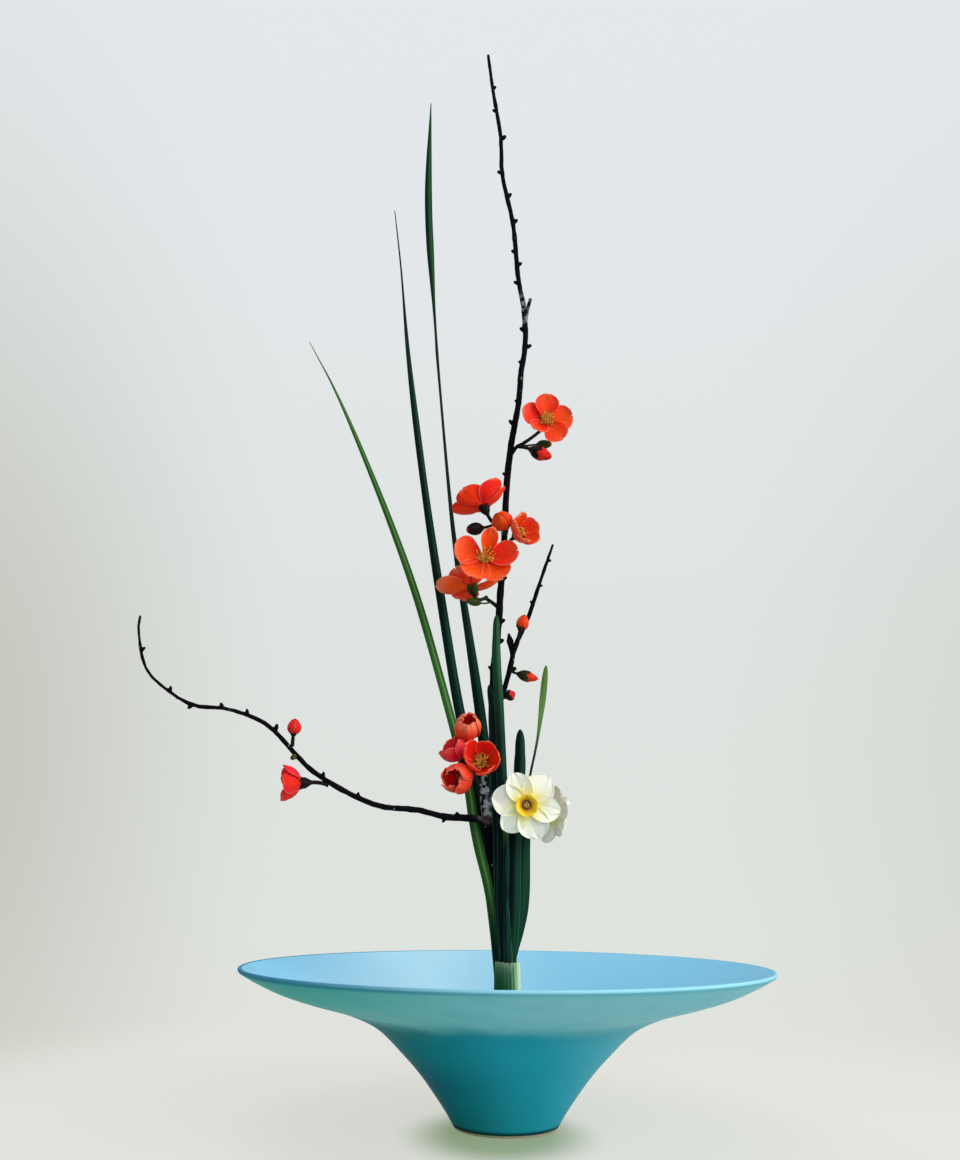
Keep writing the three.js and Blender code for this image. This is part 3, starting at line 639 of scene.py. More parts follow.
def glaze_finish(bowl):
    """Satin glaze with small pits, with painted shade towards -X, painted light on the pedestal's +X side,
    under the dish and on the inside's -X slope, a painted highlight on the lip, painted shade under it and a
    near-black foot line that is partly painted shadow.
    """
    finish = Finish("bowl_glaze")
    height = finish.axis("Z")
    cloud = finish.noise(16)
    upwards, sideways = GLAZE_DRIFT
    level = height + (cloud - 0.5) * upwards
    across = finish.axis("X") + (cloud - 0.5) * sideways
    # broad and side rise from the painted shade towards -X to the lit +X side
    broad = across.between(*BROAD_SHADED_SIDE)
    side = across.between(*SHADED_SIDE)
    pedestal = finish.mix(side, bowl.pedestal_shaded, bowl.pedestal)
    # painted light: paler towards +X on the pedestal
    pedestal = finish.mix(across.between(*LIT_SIDE) * 0.5, pedestal, bowl.underside)
    # darker low on the pedestal, deepest towards -X as painted shade
    low_and_shaded = (1 - height.between(*DARK_LOW_BAND)) * (0.6 - side * 0.55)
    pedestal = finish.mix(low_and_shaded, pedestal, bowl.pedestal_darkest)
    # under the dish: painted shade towards -X, and a paler glaze that is partly painted light bounced up
    # from the floor
    underside = finish.mix(broad, bowl.underside_shaded, bowl.underside)
    outside = finish.mix(level.between(*TRANSITION), pedestal, underside)
    # near-black band above the bare clay, partly painted shadow under the foot's edge
    foot_line = (1 - height.between(GLAZE_LINE * 0.7, GLAZE_LINE * 1.3)) * 0.85
    outside = finish.mix(foot_line, outside, FOOT_LINE_DARK)
    # painted shade: the dark line under the lip, strongest towards -X
    outside = finish.mix(height.between(*EDGE_LINE) * (0.85 - broad * 0.45), outside, bowl.edge)
    streaks = finish.noise(60, 4, (1, 1, 0.3))
    outside = finish.mix(streaks.between(0.45, 0.75) * 0.12, outside, STREAKED_GLAZE)
    inside = finish.mix(finish.noise(9, 2).between(0.35, 0.7) * 0.3, bowl.inside, bowl.lip)
    # painted light: the inside is palest on the -X slope, which faces the key light
    thin = 1 - abs(across - LIT_INSIDE_MIDDLE).between(0, LIT_INSIDE_REACH)
    inside = finish.mix(thin * 0.75, inside, bowl.inside_lit)
    colours = finish.mix(finish.mark("inside"), outside, inside)
    # painted highlight on the lip, with painted shade on its -X side
    lip = finish.mix(broad, bowl.lip_shaded, bowl.lip)
    colours = finish.mix(finish.mark("lip") * height.between(*LIP_LINE), colours, lip)
    pits = 1 - finish.cells(1 / bowl.speck_size).between(0.05, 0.13)
    pits = pits * finish.noise(30).between(0.5, 0.62)
    colours = finish.mix(pits * 0.45, colours, PITTED_GLAZE)
    relief = finish.noise(260, 2) * 0.5 + finish.noise(38, 1) - pits * 0.5
    return finish.surface(
        base_color=colours,
        roughness=0.3 + finish.noise(120) * 0.12,
        normal=finish.bump(relief, 0.16 * MM),
        specular_ior_level=0.005,
    )


def clay_finish(bowl):
    """Unglazed clay with a fine grain."""
    finish = Finish("bowl_clay")
    grain = finish.noise(900, 4)
    return finish.surface(
        base_color=finish.mix(grain.between(0.4, 0.7) * 0.4, bowl.clay, CLAY_GRIT),
        roughness=0.85,
        normal=finish.bump(grain, 0.1 * MM),
    )


def make_bowl(bowl):
    """The bowl as one solid turned round its axis."""
    profile, kinds = bowl_outline()
    points, faces = turned(profile, bowl.segments)
    # The wheel leaves a bowl very slightly out of true.
    angle = np.arctan2(points[:, 1], points[:, 0])
    strays = ramp(OUT_OF_TRUE_FROM, OUT_OF_TRUE_TO, points[:, 2])
    points[:, :2] *= (1 + OUT_OF_TRUE * np.sin(2 * angle + 0.6) * strays)[:, None]
    kind = np.concatenate([np.repeat(kinds, bowl.segments), [0, 3]])
    bare = [int(min(kind[corner] for corner in face) == 0) for face in faces]
    shape = Shape()
    shape.add(points, faces, bare, inside=kind == 3, lip=kind == 2)
    shape.piece("bowl_glazed", [glaze_finish(bowl), clay_finish(bowl)], "glaze", ["bowl"], sharp=60)


# ---------------------------------------------------------------- pin holder

BASE_HEIGHT = 10 * MM  # from the base's underside to the deck that the pins stand on
GROOVE_DEPTH, GROOVE_FROM, GROOVE_TO = 0.3 * MM, 4 * MM, 5 * MM  # the line cast round the base
PIN_TARNISH = (64 * MM, 71 * MM)  # heights between which the pins turn bright
LEAD_SCUFF = (0.05, 0.055, 0.06)
BRASS_TARNISH = (0.10, 0.07, 0.03)


def lead_finish(holder):
    """Dull cast lead with scuffs."""
    finish = Finish("holder_lead")
    mottle = finish.noise(180, 5)
    return finish.surface(
        base_color=finish.mix(mottle.between(0.35, 0.7), holder.lead, LEAD_SCUFF),
        metallic=0.7,
        roughness=0.42 + mottle * 0.3,
        normal=finish.bump(finish.noise(420, 4), 0.12 * MM),
    )


def brass_finish(holder):
    """Brass pins, tarnished towards the base."""
    finish = Finish("holder_brass")
    low = 1 - finish.axis("Z").between(*PIN_TARNISH)
    tarnish = (low + finish.noise(300) * 0.5).between(0.3, 1.1)
    return finish.surface(
        base_color=finish.mix(tarnish * 0.7, holder.brass, BRASS_TARNISH),
        metallic=1.0,
        roughness=0.25 + tarnish * 0.3,
    )


def make_pin_holder(holder):
    """Cast base with upright pins, each where the frame has one."""
    points = corners("kenzan")
    low, high = points[:, 2].min(), points[:, 2].max()
    tips = points[points[:, 2] > high - 0.2 * MM]
    deck = low + BASE_HEIGHT
    radius = np.hypot(points[:, 0], points[:, 1]).max()
    bevel = holder.bevel
    arc = np.linspace(0, math.pi / 2, 5)
    under = np.stack([radius - bevel + bevel * np.sin(arc), low + bevel - bevel * np.cos(arc)], 1)
    over = np.stack([radius - bevel + bevel * np.cos(arc), deck - bevel + bevel * np.sin(arc)], 1)
    groove = [(radius - GROOVE_DEPTH, low + height) for height in (GROOVE_FROM, GROOVE_TO)]
    base = Shape()
    base.add(*turned(np.vstack([[0, low], under, groove, over, [0, deck]]), 96))
    base.piece("holder_base", [lead_finish(holder)], "pin_holder", ["kenzan"], sharp=40)
    wide, tall = holder.pin_radius, high - deck
    pin, faces = turned([
        (0, -0.5 * MM), (wide * 1.5, -0.5 * MM), (wide * 1.4, 0.3 * MM), (wide, 0.6 * MM),
        (wide * 0.8, tall * 0.8), (0, tall),
    ], 8)
    pins = Shape()
    for tip in tips:
        pins.add(pin + (tip[0], tip[1], deck), faces)
    pins.piece("holder_pins", [brass_finish(holder)], "pin_holder", ["kenzan"], sharp=40)


# ---------------------------------------------------------------- quince branches

# Places on the bark and the size of what grows there.
TALL_LICHEN = ((0.014, 0.004, 0.582), 0.018)
TRUNK_LICHEN = ((-0.013, 0.006, 0.206), 0.024)
TRUNK_CUT = ((-0.0125, 0.001, 0.186), 0.004)
TIP_FROM, TIP_TO = 0.55, 0.72  # heights between which the tall branch gets its tip growth
RIDGE_SCALE, LUMP_SCALE = 700, 130  # ridges and swellings to the metre
CARVED_SMOOTHING = 6  # rounds of smoothing of a carved mesh
# How far the ridges of each branch are drawn out along it, and what smoothing took off its radius.
TALL_RIDGES, TALL_REGROWTH = (1, 1, 0.12), 0.28 * MM
LOW_RIDGES, LOW_REGROWTH = (0.35, 1, 0.35), 0.04 * MM


def bark_finish(bark, name, lichen_spot, lichen_share, cut_spot=None):
    """Near-black bark with ridges, pale specks, and lichen round one spot. A spot is a place and a size."""
    finish = Finish(name)

    def near(spot):
        place, size = spot
        return 1 - finish.distance(place).between(size * 0.6, size)

    streak = finish.noise(170, 5, (1, 1, 0.22))
    colours = finish.mix(streak.between(0.5, 0.72) * 0.8, bark.dark, bark.brown)
    specks = 1 - finish.cells(260, (1, 1, 0.6)).between(0.08, 0.16)
    colours = finish.mix(specks * finish.noise(70).between(0.52, 0.62) * 0.45, colours, bark.lichen)
    patch = finish.noise(240, 5).between(0.42, 0.60) * near(lichen_spot)
    stray = finish.noise(120, 4).between(0.68, 0.74) * 0.3
    colours = finish.mix(patch.math("MAXIMUM", stray) * lichen_share, colours, bark.lichen)
    if cut_spot:
        colours = finish.mix(near(cut_spot) * 0.5, colours, bark.cut)
    grain = finish.noise(520, 4, (1, 1, 0.2))
    return finish.surface(
        base_color=colours,
        roughness=0.55 + streak * 0.3,
        normal=finish.bump(grain + patch * 0.6, 0.22 * MM),
        specular_ior_level=0.04,
    )


def carved(node, voxel, regrowth):
    """A finer, rounder copy of a CAD node's mesh: its points, moved outwards by regrowth, and its faces.

    regrowth is a length, or a function that gives the length at each point.
    """
    copy = bpy.data.objects.new(f"{node}_copy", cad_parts[node].data.copy())
    bpy.context.scene.collection.objects.link(copy)
    remesh = copy.modifiers.new("Remesh", "REMESH")
    remesh.mode = "VOXEL"
    remesh.voxel_size = voxel
    smooth = copy.modifiers.new("Smooth", "SMOOTH")
    smooth.factor = 0.5
    smooth.iterations = CARVED_SMOOTHING
    bpy.context.view_layer.update()
    whole = copy.evaluated_get(bpy.context.evaluated_depsgraph_get()).to_mesh()
    points = np.empty(len(whole.vertices) * 3)
    normals = np.empty(len(whole.vertices) * 3)
    whole.vertices.foreach_get("co", points)
    whole.vertices.foreach_get("normal", normals)
    faces = [list(polygon.vertices) for polygon in whole.polygons]
    bpy.data.objects.remove(copy)
    points, normals = points.reshape(-1, 3), normals.reshape(-1, 3)
    grown = regrowth(points)[:, None] if callable(regrowth) else regrowth
    return points + normals * grown, faces


def rough(points, scale, stretch):
    """Noise from -1 to 1 at each point."""
    places = points * np.asarray(stretch) * scale
    return np.array([noise.noise(place) for place in places])


def make_branch(name, node, bark, finish, stretch, regrowth):
    """A branch carved from its frame node, with ridges along it and swellings."""

    def height(points):
        ridges = rough(points, RIDGE_SCALE, stretch)
        lumps = rough(points, LUMP_SCALE, (1, 1, 1))
        tip = bark.tip_growth * ramp(TIP_FROM, TIP_TO, points[:, 2])
        return regrowth + bark.ridges * ridges + bark.lumps * np.maximum(lumps, -0.3) + tip

    shape = Shape()
    shape.add(*carved(node, bark.voxel * (1), height))
    shape.piece(name, [finish], "bark", [node], sharp=80)


def make_branches(bark):
    """Both quince branches."""
    tall = bark_finish(bark, "tall_bark", TALL_LICHEN, 0.45)
    make_branch("tall_branch_bark", "quince_branch_tall", bark, tall, TALL_RIDGES, TALL_REGROWTH)
    low = bark_finish(bark, "low_bark", TRUNK_LICHEN, 0.8, TRUNK_CUT)
    make_branch("low_branch_bark", "quince_branch_low", bark, low, LOW_RIDGES, LOW_REGROWTH)


# ---------------------------------------------------------------- long leaves

LEAF_ROWS, LEAF_COLUMNS = 150, 15
ROUND_TIP, ROUND_TIP_POWER = 1.65, 2.6  # length of a rounded tip, in leaf widths, and its fullness
LEAF_VEIN = (0.0, 0.012, 0.01)


def leaf_finish(name, blade, stripe, margin, stripe_place, stripe_width, tip=None, tip_from=0, tip_to=1):
    """A leaf with fine veins along it, a paler stripe and pale edges. Where the stripe lies towards +X, it
    is partly painted light on the half that faces the key light.

    The stripe's place and width are parts of the leaf's half width. tip holds the blade and stripe
    colours of its upper part, which the leaf reaches between tip_from and tip_to, in metres along it.
    """
    finish = Finish(name)
    across = finish.mark("across")
    along = finish.mark("along")
    cloud = finish.noise(24, 3, (1, 1, 0.25))
    veins = (across * 34 + cloud * 1.5).math("SINE") * 0.5 + 0.5
    # the stripe, where it lies towards +X, is partly painted light on the half that faces the key light
    lift = 1 - abs(across - stripe_place).between(0, stripe_width)
    base = blade
    if tip:
        reached = along.between(tip_from, tip_to)
        base, stripe = finish.mix(reached, blade, tip[0]), finish.mix(reached, stripe, tip[1])
    colours = finish.mix(lift * (0.55 + cloud * 0.6), base, stripe)
    colours = finish.mix(veins * 0.28, colours, finish.mix(0.5, blade, LEAF_VEIN))
    colours = finish.mix(abs(across).between(0.86, 0.97) * 0.7, colours, margin)
    colours = finish.mix((1 - along.between(0, 0.03)) * 0.5, colours, margin)
    return finish.surface(
        base_color=colours,
        roughness=0.42 + cloud * 0.15,
        normal=finish.bump(veins * 0.6 + finish.noise(500, 2, (1, 1, 0.1)), 0.12 * MM),
        specular_ior_level=0.07,
        subsurface_weight=0.06,
        subsurface_radius=(0.3, 1.0, 0.2),
        subsurface_scale=1.2 * MM,
    )


def turned_aside(directions, tangents, seen):
    """Directions across a leaf, turned about its middle line where it faces the front too much.

    seen is how wide it may look from the front at most, as a part of its width.
    """
    sideways = unit(np.array([[1.0, 0, 0]]) - tangents[:, :1] * tangents)
    depthways = np.cross(tangents, sideways)
    aside, deep = np.sum(directions * sideways, axis=1), np.sum(directions * depthways, axis=1)
    sign = np.sign(aside)
    angles = np.arctan2(sign * deep, sign * aside)
    sense = np.sign(angles.sum()) or 1.0
    angles = sense * np.maximum(sense * angles, np.arccos(np.clip(seen, 0.25, 1)))
    return (sign * np.cos(angles))[:, None] * sideways + (sign * np.sin(angles))[:, None] * depthways


def blade_grid(middles, directions, widths, across, lift):
    """Points of a blade on its middle line.

    across runs from -1 to 1, and lift is how far each point stands off the blade's plane.
    """
    normals = unit(np.cross(directions, unit(np.gradient(middles, axis=0))))
    out = across * widths[:, None] / 2
    return middles[:, None] + directions[:, None] * out[..., None] + normals[:, None] * lift[..., None]


def make_blade(node, slot, finish, leaf, fold, rounded=False, looks=None):
    """A long leaf on the frame's own rings.

    fold is how deep its gutter is, as a part of its width. rounded gives it a round tip.
    looks lists heights and how wide the leaf looks from the front there, against its frame node.
    Where one of them is below 1, the leaf is turned about its middle line.
    """
    middles, directions, widths = rings(node)
    middles = smooth_rows(middles, LEAF_ROWS)
    directions = unit(smooth_rows(directions, LEAF_ROWS))
    widths = np.maximum(smooth_rows(widths, LEAF_ROWS), 0.3 * MM)
    if looks:
        heights, shares = np.array(looks).T
        seen = smooth_rows(np.interp(middles[::5, 2], heights, shares), LEAF_ROWS)
        widths = widths * np.maximum(seen, 1)
        if shares.min() < 1:
            directions = turned_aside(directions, unit(np.gradient(middles, axis=0)), seen)
    along = np.concatenate([[0], np.cumsum(np.linalg.norm(np.diff(middles, axis=0), axis=1))])
    if rounded:
        reach = widths.max() * ROUND_TIP
        left = (along[-1] - along) / reach
        body = np.interp(along[-1] - reach, along, widths)
        tip = left < 1
        widths[tip] = body * np.sqrt(np.clip(1 - (1 - left[tip]) ** ROUND_TIP_POWER, 0.01, 1))
    across = np.linspace(-1, 1, LEAF_COLUMNS)[None]
    gutter = fold * widths[:, None] * (0.5 - np.abs(across) ** 1.3)
    surface = blade_grid(middles, directions, widths, across, gutter)
    keel = (1 - across**2) * ramp(0, 8 * MM, widths)[:, None]
    points, faces = plate(surface, leaf.edge + (leaf.thickness - leaf.edge) * keel)
    shape = Shape()
    shape.add(points, faces, across=twice(across, surface), along=twice(along[:, None], surface))
    shape.piece(f"{node}_blade", [finish], slot, [node], sharp=45)


# How wide a leaf looks at each height, against its frame node. The middle sword leaf narrows less than
# in the frame, and the tall one turns its edge to the front between its middle and its tip.
MIDDLE_LEAF_LOOKS = ((0.06, 1.0), (0.42, 1.0), (0.5, 1.25), (0.66, 1.9))
TALL_LEAF_LOOKS = (
    (0.27, 1.0), (0.345, 0.75), (0.40, 0.48), (0.44, 0.34), (0.475, 0.26), (0.52, 0.28), (0.555, 0.55),
    (0.585, 0.95), (0.63, 1.25), (0.68, 1.4), (0.74, 1.45), (0.79, 1.3),
)


def make_sword_leaves(leaf):
    """The three sword leaves."""
    fresh = leaf_finish(
        "fresh_sword_leaf", leaf.sword, leaf.sword_stripe, leaf.sword_fresh, stripe_place=0.12,
        stripe_width=0.45, tip=(leaf.sword_fresh, leaf.fresh_stripe), tip_from=0.035, tip_to=0.085,
    )
    dark = leaf_finish(
        "dark_sword_leaf", leaf.sword, leaf.sword_stripe, leaf.sword_stripe, stripe_place=0.45,
        stripe_width=0.5,
    )
    tall = leaf_finish(
        "tall_sword_leaf", leaf.sword, leaf.sword_stripe, leaf.sword_stripe, stripe_place=0.3,
        stripe_width=0.8, tip=(leaf.sword, leaf.sword_tip), tip_from=0.3, tip_to=0.4,
    )
    make_blade("sword_leaf_left", "sword_leaf", fresh, leaf, fold=0.16)
    make_blade("sword_leaf_middle", "sword_leaf", dark, leaf, fold=0.2, looks=MIDDLE_LEAF_LOOKS)
    make_blade("sword_leaf_tall", "sword_leaf", tall, leaf, fold=0.2, looks=TALL_LEAF_LOOKS)


# The outer narcissus leaf is broad low down and turns aside above.
OUTER_LEAF_LOOKS = (
    (0.06, 1.1), (0.085, 1.35), (0.11, 1.4), (0.14, 1.35), (0.175, 1.3), (0.195, 0.75), (0.21, 0.32),
    (0.225, 0.27), (0.24, 0.36), (0.255, 0.7), (0.27, 1.05), (0.285, 1.25), (0.295, 1.5),
)
# The front one and the short one stay broad almost to their tips.
FRONT_LEAF_LOOKS = ((0.06, 1.0), (0.24, 1.0), (0.29, 1.1), (0.31, 1.3), (0.33, 1.6))
SHORT_LEAF_LOOKS = ((0.06, 1.0), (0.18, 1.05), (0.22, 1.25), (0.25, 1.35))


def make_narcissus_leaves(leaf):
    """The four strap leaves of the narcissus."""
    dark = leaf_finish(
        "narcissus_leaf_dark", leaf.strap, leaf.strap_light, leaf.margin, stripe_place=0.55,
        stripe_width=0.6,
    )
    light = leaf_finish(
        "narcissus_leaf_light", leaf.strap, leaf.strap_light, leaf.margin, stripe_place=0.5,
        stripe_width=0.6, tip=(leaf.strap_top, leaf.strap_top_light), tip_from=0.17, tip_to=0.23,
    )
    outer = leaf_finish(
        "narcissus_leaf_outer", leaf.strap, leaf.strap_light, leaf.strap_light, stripe_place=0.5,
        stripe_width=0.8, tip=(leaf.strap_young, leaf.strap_young), tip_from=0.165, tip_to=0.195,
    )
    leaves = {
        "front": (light, FRONT_LEAF_LOOKS), "left": (dark, None), "short": (dark, SHORT_LEAF_LOOKS),
        "right": (outer, OUTER_LEAF_LOOKS),
    }
    for side, (finish, looks) in leaves.items():
        node = f"narcissus_leaf_{side}"
        make_blade(node, "narcissus_leaf", finish, leaf, fold=0.12, rounded=True, looks=looks)


# ---------------------------------------------------------------- narcissus sheath and stalks

SHEATH_ROWS, SHEATH_COLUMNS = 36, 144
PLEATS, FINE_PLEATS = 23, 61  # round the sheath
PLEAT_HEIGHT, FINE_PLEAT_HEIGHT = 0.16 * MM, 0.1 * MM
SHEATH_BULGE, SHEATH_TAPER = 0.4 * MM, 0.35 * MM
SHEATH_FOOT_WALL, SHEATH_TOP_WALL = 0.75 * MM, 0.35 * MM
YOUNG_STALK = (165 * MM, 195 * MM)  # heights between which the stalks turn yellower
TUBE_FROM, TUBE_TO = (176 * MM, 188 * MM), (190 * MM, 205 * MM)  # where the paler tubes begin and end
BRACT_VEIN = (0.06, 0.045, 0.02)
BRACT_THICKNESS, BRACT_CRINKLE = 0.25 * MM, 0.18 * MM
BRACT_SPREAD = 1.25  # width of the bract against its frame node's
BRACT_HUG = 0.28  # how far its edges stand forward, as a part of its width


def sheath_finish(sheath):
    """Streaked leaf base, green on one side and bleached on the other."""
    finish = Finish("sheath_streaks")
    middle, size = middle_and_size("narcissus_sheath")
    side = (finish.axis("X") - middle[0]) / (size[0] / 2)
    streak = finish.noise(900, 3, (1, 1, 0.03))
    fine = finish.noise(2200, 2, (1, 1, 0.02))
    shade = (side + (streak - 0.5) * 2.4 + (fine - 0.5) * 1.2).between(0.0, 1.3)
    colours = finish.mix(shade, sheath.dark, sheath.pale)
    colours = finish.mix(side.between(0.55, 1.0) * 0.8, colours, sheath.white)
    colours = finish.mix(finish.mark("edge") * 0.25, colours, sheath.white)
    return finish.surface(
        base_color=colours,
        roughness=0.55,
        normal=finish.bump(streak + fine * 0.5, 0.35 * MM),
        specular_ior_level=0.1,
        subsurface_weight=0.12,
        subsurface_radius=(0.6, 1.0, 0.4),
        subsurface_scale=1.5 * MM,
    )


def make_sheath(sheath):
    """A pleated sleeve with a torn top."""
    middle, size = middle_and_size("narcissus_sheath")
    angle = around(SHEATH_COLUMNS)[None]
    rise = np.linspace(0, 1, SHEATH_ROWS)[:, None]
    torn = np.random.default_rng(7).random(SHEATH_COLUMNS)
    torn = (torn + np.roll(torn, 1) + np.roll(torn, 2)) / 3
    top = size[2] - sheath.fray * (torn + 1.4 * (torn > 0.72))
    heights = middle[2] - size[2] / 2 + rise * top
    pleats = PLEAT_HEIGHT * np.sin(PLEATS * angle + 0.8 * np.sin(3 * angle))
    pleats = pleats + FINE_PLEAT_HEIGHT * np.sin(FINE_PLEATS * angle + 1.3)
    outer = size[0] / 2 + pleats + SHEATH_BULGE * np.sin(math.pi * rise) - SHEATH_TAPER * rise
    wall = SHEATH_FOOT_WALL + (SHEATH_TOP_WALL - SHEATH_FOOT_WALL) * rise
    points, faces = sleeve(*(round_grid(radius, angle, heights) for radius in (outer, outer - wall)))
    shape = Shape()
    shape.add(points + (middle[0], middle[1], 0), faces, edge=twice(rise**8, outer))
    shape.piece("sheath_skin", [sheath_finish(sheath)], "leaf_sheath", ["narcissus_sheath"], sharp=60)


def stalk_finish(leaf, narcissus):
    """Green flower stalks, yellower at the top."""
    finish = Finish("narcissus_stalk")
    height = finish.axis("Z")
    streak = finish.noise(700, 3, (1, 1, 0.08))
    colours = finish.mix(streak.between(0.35, 0.7), leaf.strap, leaf.strap_light)
    colours = finish.mix(height.between(*YOUNG_STALK) * 0.75, colours, leaf.strap_young)
    tubes = height.between(*TUBE_FROM) * (1 - height.between(*TUBE_TO))
    colours = finish.mix(tubes, colours, narcissus.tube)
    return finish.surface(
        base_color=colours,
        roughness=0.45,
        normal=finish.bump(streak, 0.12 * MM),
        specular_ior_level=0.07,
        subsurface_weight=0.1,
        subsurface_radius=(0.4, 1.0, 0.3),
        subsurface_scale=1 * MM,
    )


def bract_finish(narcissus):
    """Dry, papery bract with veins."""
    finish = Finish("bract_paper")
    across = finish.mark("across")
    veins = (across * 26 + finish.noise(90) * 3).math("SINE") * 0.5 + 0.5
    colours = finish.mix(veins * 0.6, narcissus.bract, BRACT_VEIN)
    colours = finish.mix(finish.noise(240, 4).between(0.5, 0.7) * 0.5, colours, narcissus.tube)
    return finish.surface(base_color=colours, roughness=0.75, normal=finish.bump(veins, 0.25 * MM))


def make_bract(narcissus):
    """The crinkled bract that hugs the side stalks, from the top down."""
    rows, columns = 40, 13
    found = rings("narcissus_spathe", 1.2 * MM)
    middles, directions, widths = (smooth_rows(part[::-1], rows) for part in found)
    widths = np.maximum(widths, 0.6 * MM) * BRACT_SPREAD
    across = np.linspace(-1, 1, columns)[None]
    hug = BRACT_HUG * widths[:, None] * across**2
    crinkle = BRACT_CRINKLE * np.sin(np.linspace(0, 17, rows))[:, None] * np.abs(across)
    surface = blade_grid(middles, unit(directions), widths, across, hug + crinkle)
    shape = Shape()
    shape.add(*plate(surface, BRACT_THICKNESS), across=twice(across, surface))
    shape.piece("bract", [bract_finish(narcissus)], "papery_bract", ["narcissus_spathe"], sharp=60)


def make_stalks(leaf, narcissus):
    """The flower stalk with its two side stalks, and the bract where they part."""
    shape = Shape()
    shape.add(*carved("narcissus_scape", 0.4 * MM, 0.1 * MM))
    finish = stalk_finish(leaf, narcissus)
    shape.piece("narcissus_stalks", [finish], "narcissus_leaf", ["narcissus_scape"], sharp=80)
    make_bract(narcissus)


# ---------------------------------------------------------------- narcissus flowers

TEPALS = 6
TEPAL_SHAPE, TEPAL_SHOULDER = 0.58, 1.12  # as PETAL_SHAPE and PETAL_SHOULDER below
TEPAL_DISH = 22  # how far a tepal bends round from its middle to its edge, in degrees
TEPAL_POINT = 0.07  # how far its tip is drawn out, as a part of its length
TEPAL_WAVE = 0.7 * MM
TEPAL_THICKNESS = 0.4 * MM  # at its foot; half of that at its tip
TEPAL_STEP = 0.35 * MM  # from the outer three tepals up to the inner three
CUP_FRILL, CUP_WAVE = 0.28 * MM, 0.35 * MM  # how far the cup's rim sways outwards and upwards
CUP_FOOT_WALL, CUP_RIM_WALL = 0.55 * MM, 0.3 * MM
NARCISSUS_THROAT = np.array([(0, 0.9), (3.1, 0.9), (3.3, 1.5), (3.2, 2.1), (1.6, 1.7), (0, 1.6)]) * MM
ANTHER = np.array([0.5, 0.5, 1.2]) * MM  # half sizes
STYLE = np.array([0.4, 0.4, 2.0]) * MM
TEPAL_VEIN = (0.75, 0.80, 0.62)
NARCISSUS_THROAT_SHADE = (0.10, 0.045, 0.005)
BLOOM_SEAT = 1.9 * MM  # from a flower's seat to the foot of its stamens
# Size of each flower against the frame's, a further turn about its axis, and its seed.
NARCISSUS_FLOWERS = {"front": (1.04, 0.0, 4), "back": (1.16, 0.3, 5)}


def tepal_finish(narcissus):
    """Creamy white tepals, shaded at the foot, with faint veins."""
    finish = Finish("narcissus_tepal")
    along, across = finish.mark("along"), finish.mark("across")
    veins = (across * 19 + finish.noise(120) * 2).math("SINE") * 0.5 + 0.5
    colours = finish.mix((1 - along.between(0.2, 0.64)) * 0.9, narcissus.tepal, narcissus.shade)
    colours = finish.mix(veins * 0.05, colours, TEPAL_VEIN)
    return finish.surface(
        base_color=colours,
        roughness=0.5,
        normal=finish.bump(veins, 0.05 * MM),
        subsurface_weight=0.25,
        subsurface_radius=(1.0, 0.95, 0.7),
        subsurface_scale=1 * MM,
    )


def corona_finish(narcissus):
    """Yellow cup with ribs, deeper inside."""
    finish = Finish("narcissus_corona")
    ribs = finish.mark("ribs")
    depth = (1 - finish.mark("along").between(0.1, 0.6)) * finish.mark("front")
    colours = finish.mix(depth, narcissus.corona, narcissus.corona_deep)
    colours = finish.mix(ribs * 0.18, colours, narcissus.corona_deep)
    return finish.surface(
        base_color=colours,
        roughness=0.45,
        normal=finish.bump(ribs, 0.2 * MM),
        subsurface_weight=0.3,
        subsurface_radius=(1.0, 0.7, 0.2),
        subsurface_scale=1.2 * MM,
    )


def plain_finish(name, base, shade):
    """A dull finish mottled between two colours."""
    finish = Finish(name)
    mottle = finish.noise(600)
    return finish.surface(
        base_color=finish.mix(mottle.between(0.35, 0.7), base, shade),
        roughness=0.6,
        normal=finish.bump(mottle, 0.1 * MM),
    )


def petal_grid(rows, columns, reach, width, bends, outline, dish, wave=0.0, notch=0.0, phase=0.0):
    """A petal that grows along +X from the origin and faces +Z.

    bends are the angles above XY at its foot and tip. outline gives the half width at each part of
    its length. dish is how far it bends round from its middle to its edge, in degrees. wave is the
    height of its ripples. notch is how deep its tip is cut, as a part of its length, and below 0 it
    draws the tip out. Also gives how far the rows lie along it and the columns across it.
    """
    along = 1 - (1 - np.linspace(0, 1, rows)[:, None]) ** 1.35
    across = np.linspace(-1, 1, columns)[None]
    fine = np.linspace(0, 1, 200)
    slopes = bends[0] + (bends[1] - bends[0]) * fine
    x = np.concatenate([[0], np.cumsum(np.cos(slopes[:-1]))]) / 199
    z = np.concatenate([[0], np.cumsum(np.sin(slopes[:-1]))]) / 199
    arc = np.radians(dish)
    half = outline(along) * width / 2
    side = half * np.sin(across * arc) / np.sin(arc)
    ripple = wave * np.sin(across * 5.2 + phase + along * 3) * np.abs(across) ** 1.5
    ripple = ripple + wave * 0.7 * np.sin(across * 7 + phase * 2) * along**4
    lift = half * (1 - np.cos(across * arc)) / np.sin(arc) + ripple * ramp(0.1, 0.6, along)
    tip = along - notch * along**6 * np.exp(-((across / 0.3) ** 2))
    out, rise, slope = (np.interp(tip, fine, values) for values in (x * reach, z * reach, slopes))
    surface = np.stack([out - np.sin(slope) * lift, side, rise + np.cos(slope) * lift], -1)
    return surface, along, across


def spun(points, angle):
    """Points turned about Z."""
    return points @ np.array(Matrix.Rotation(angle, 3, "Z")).T


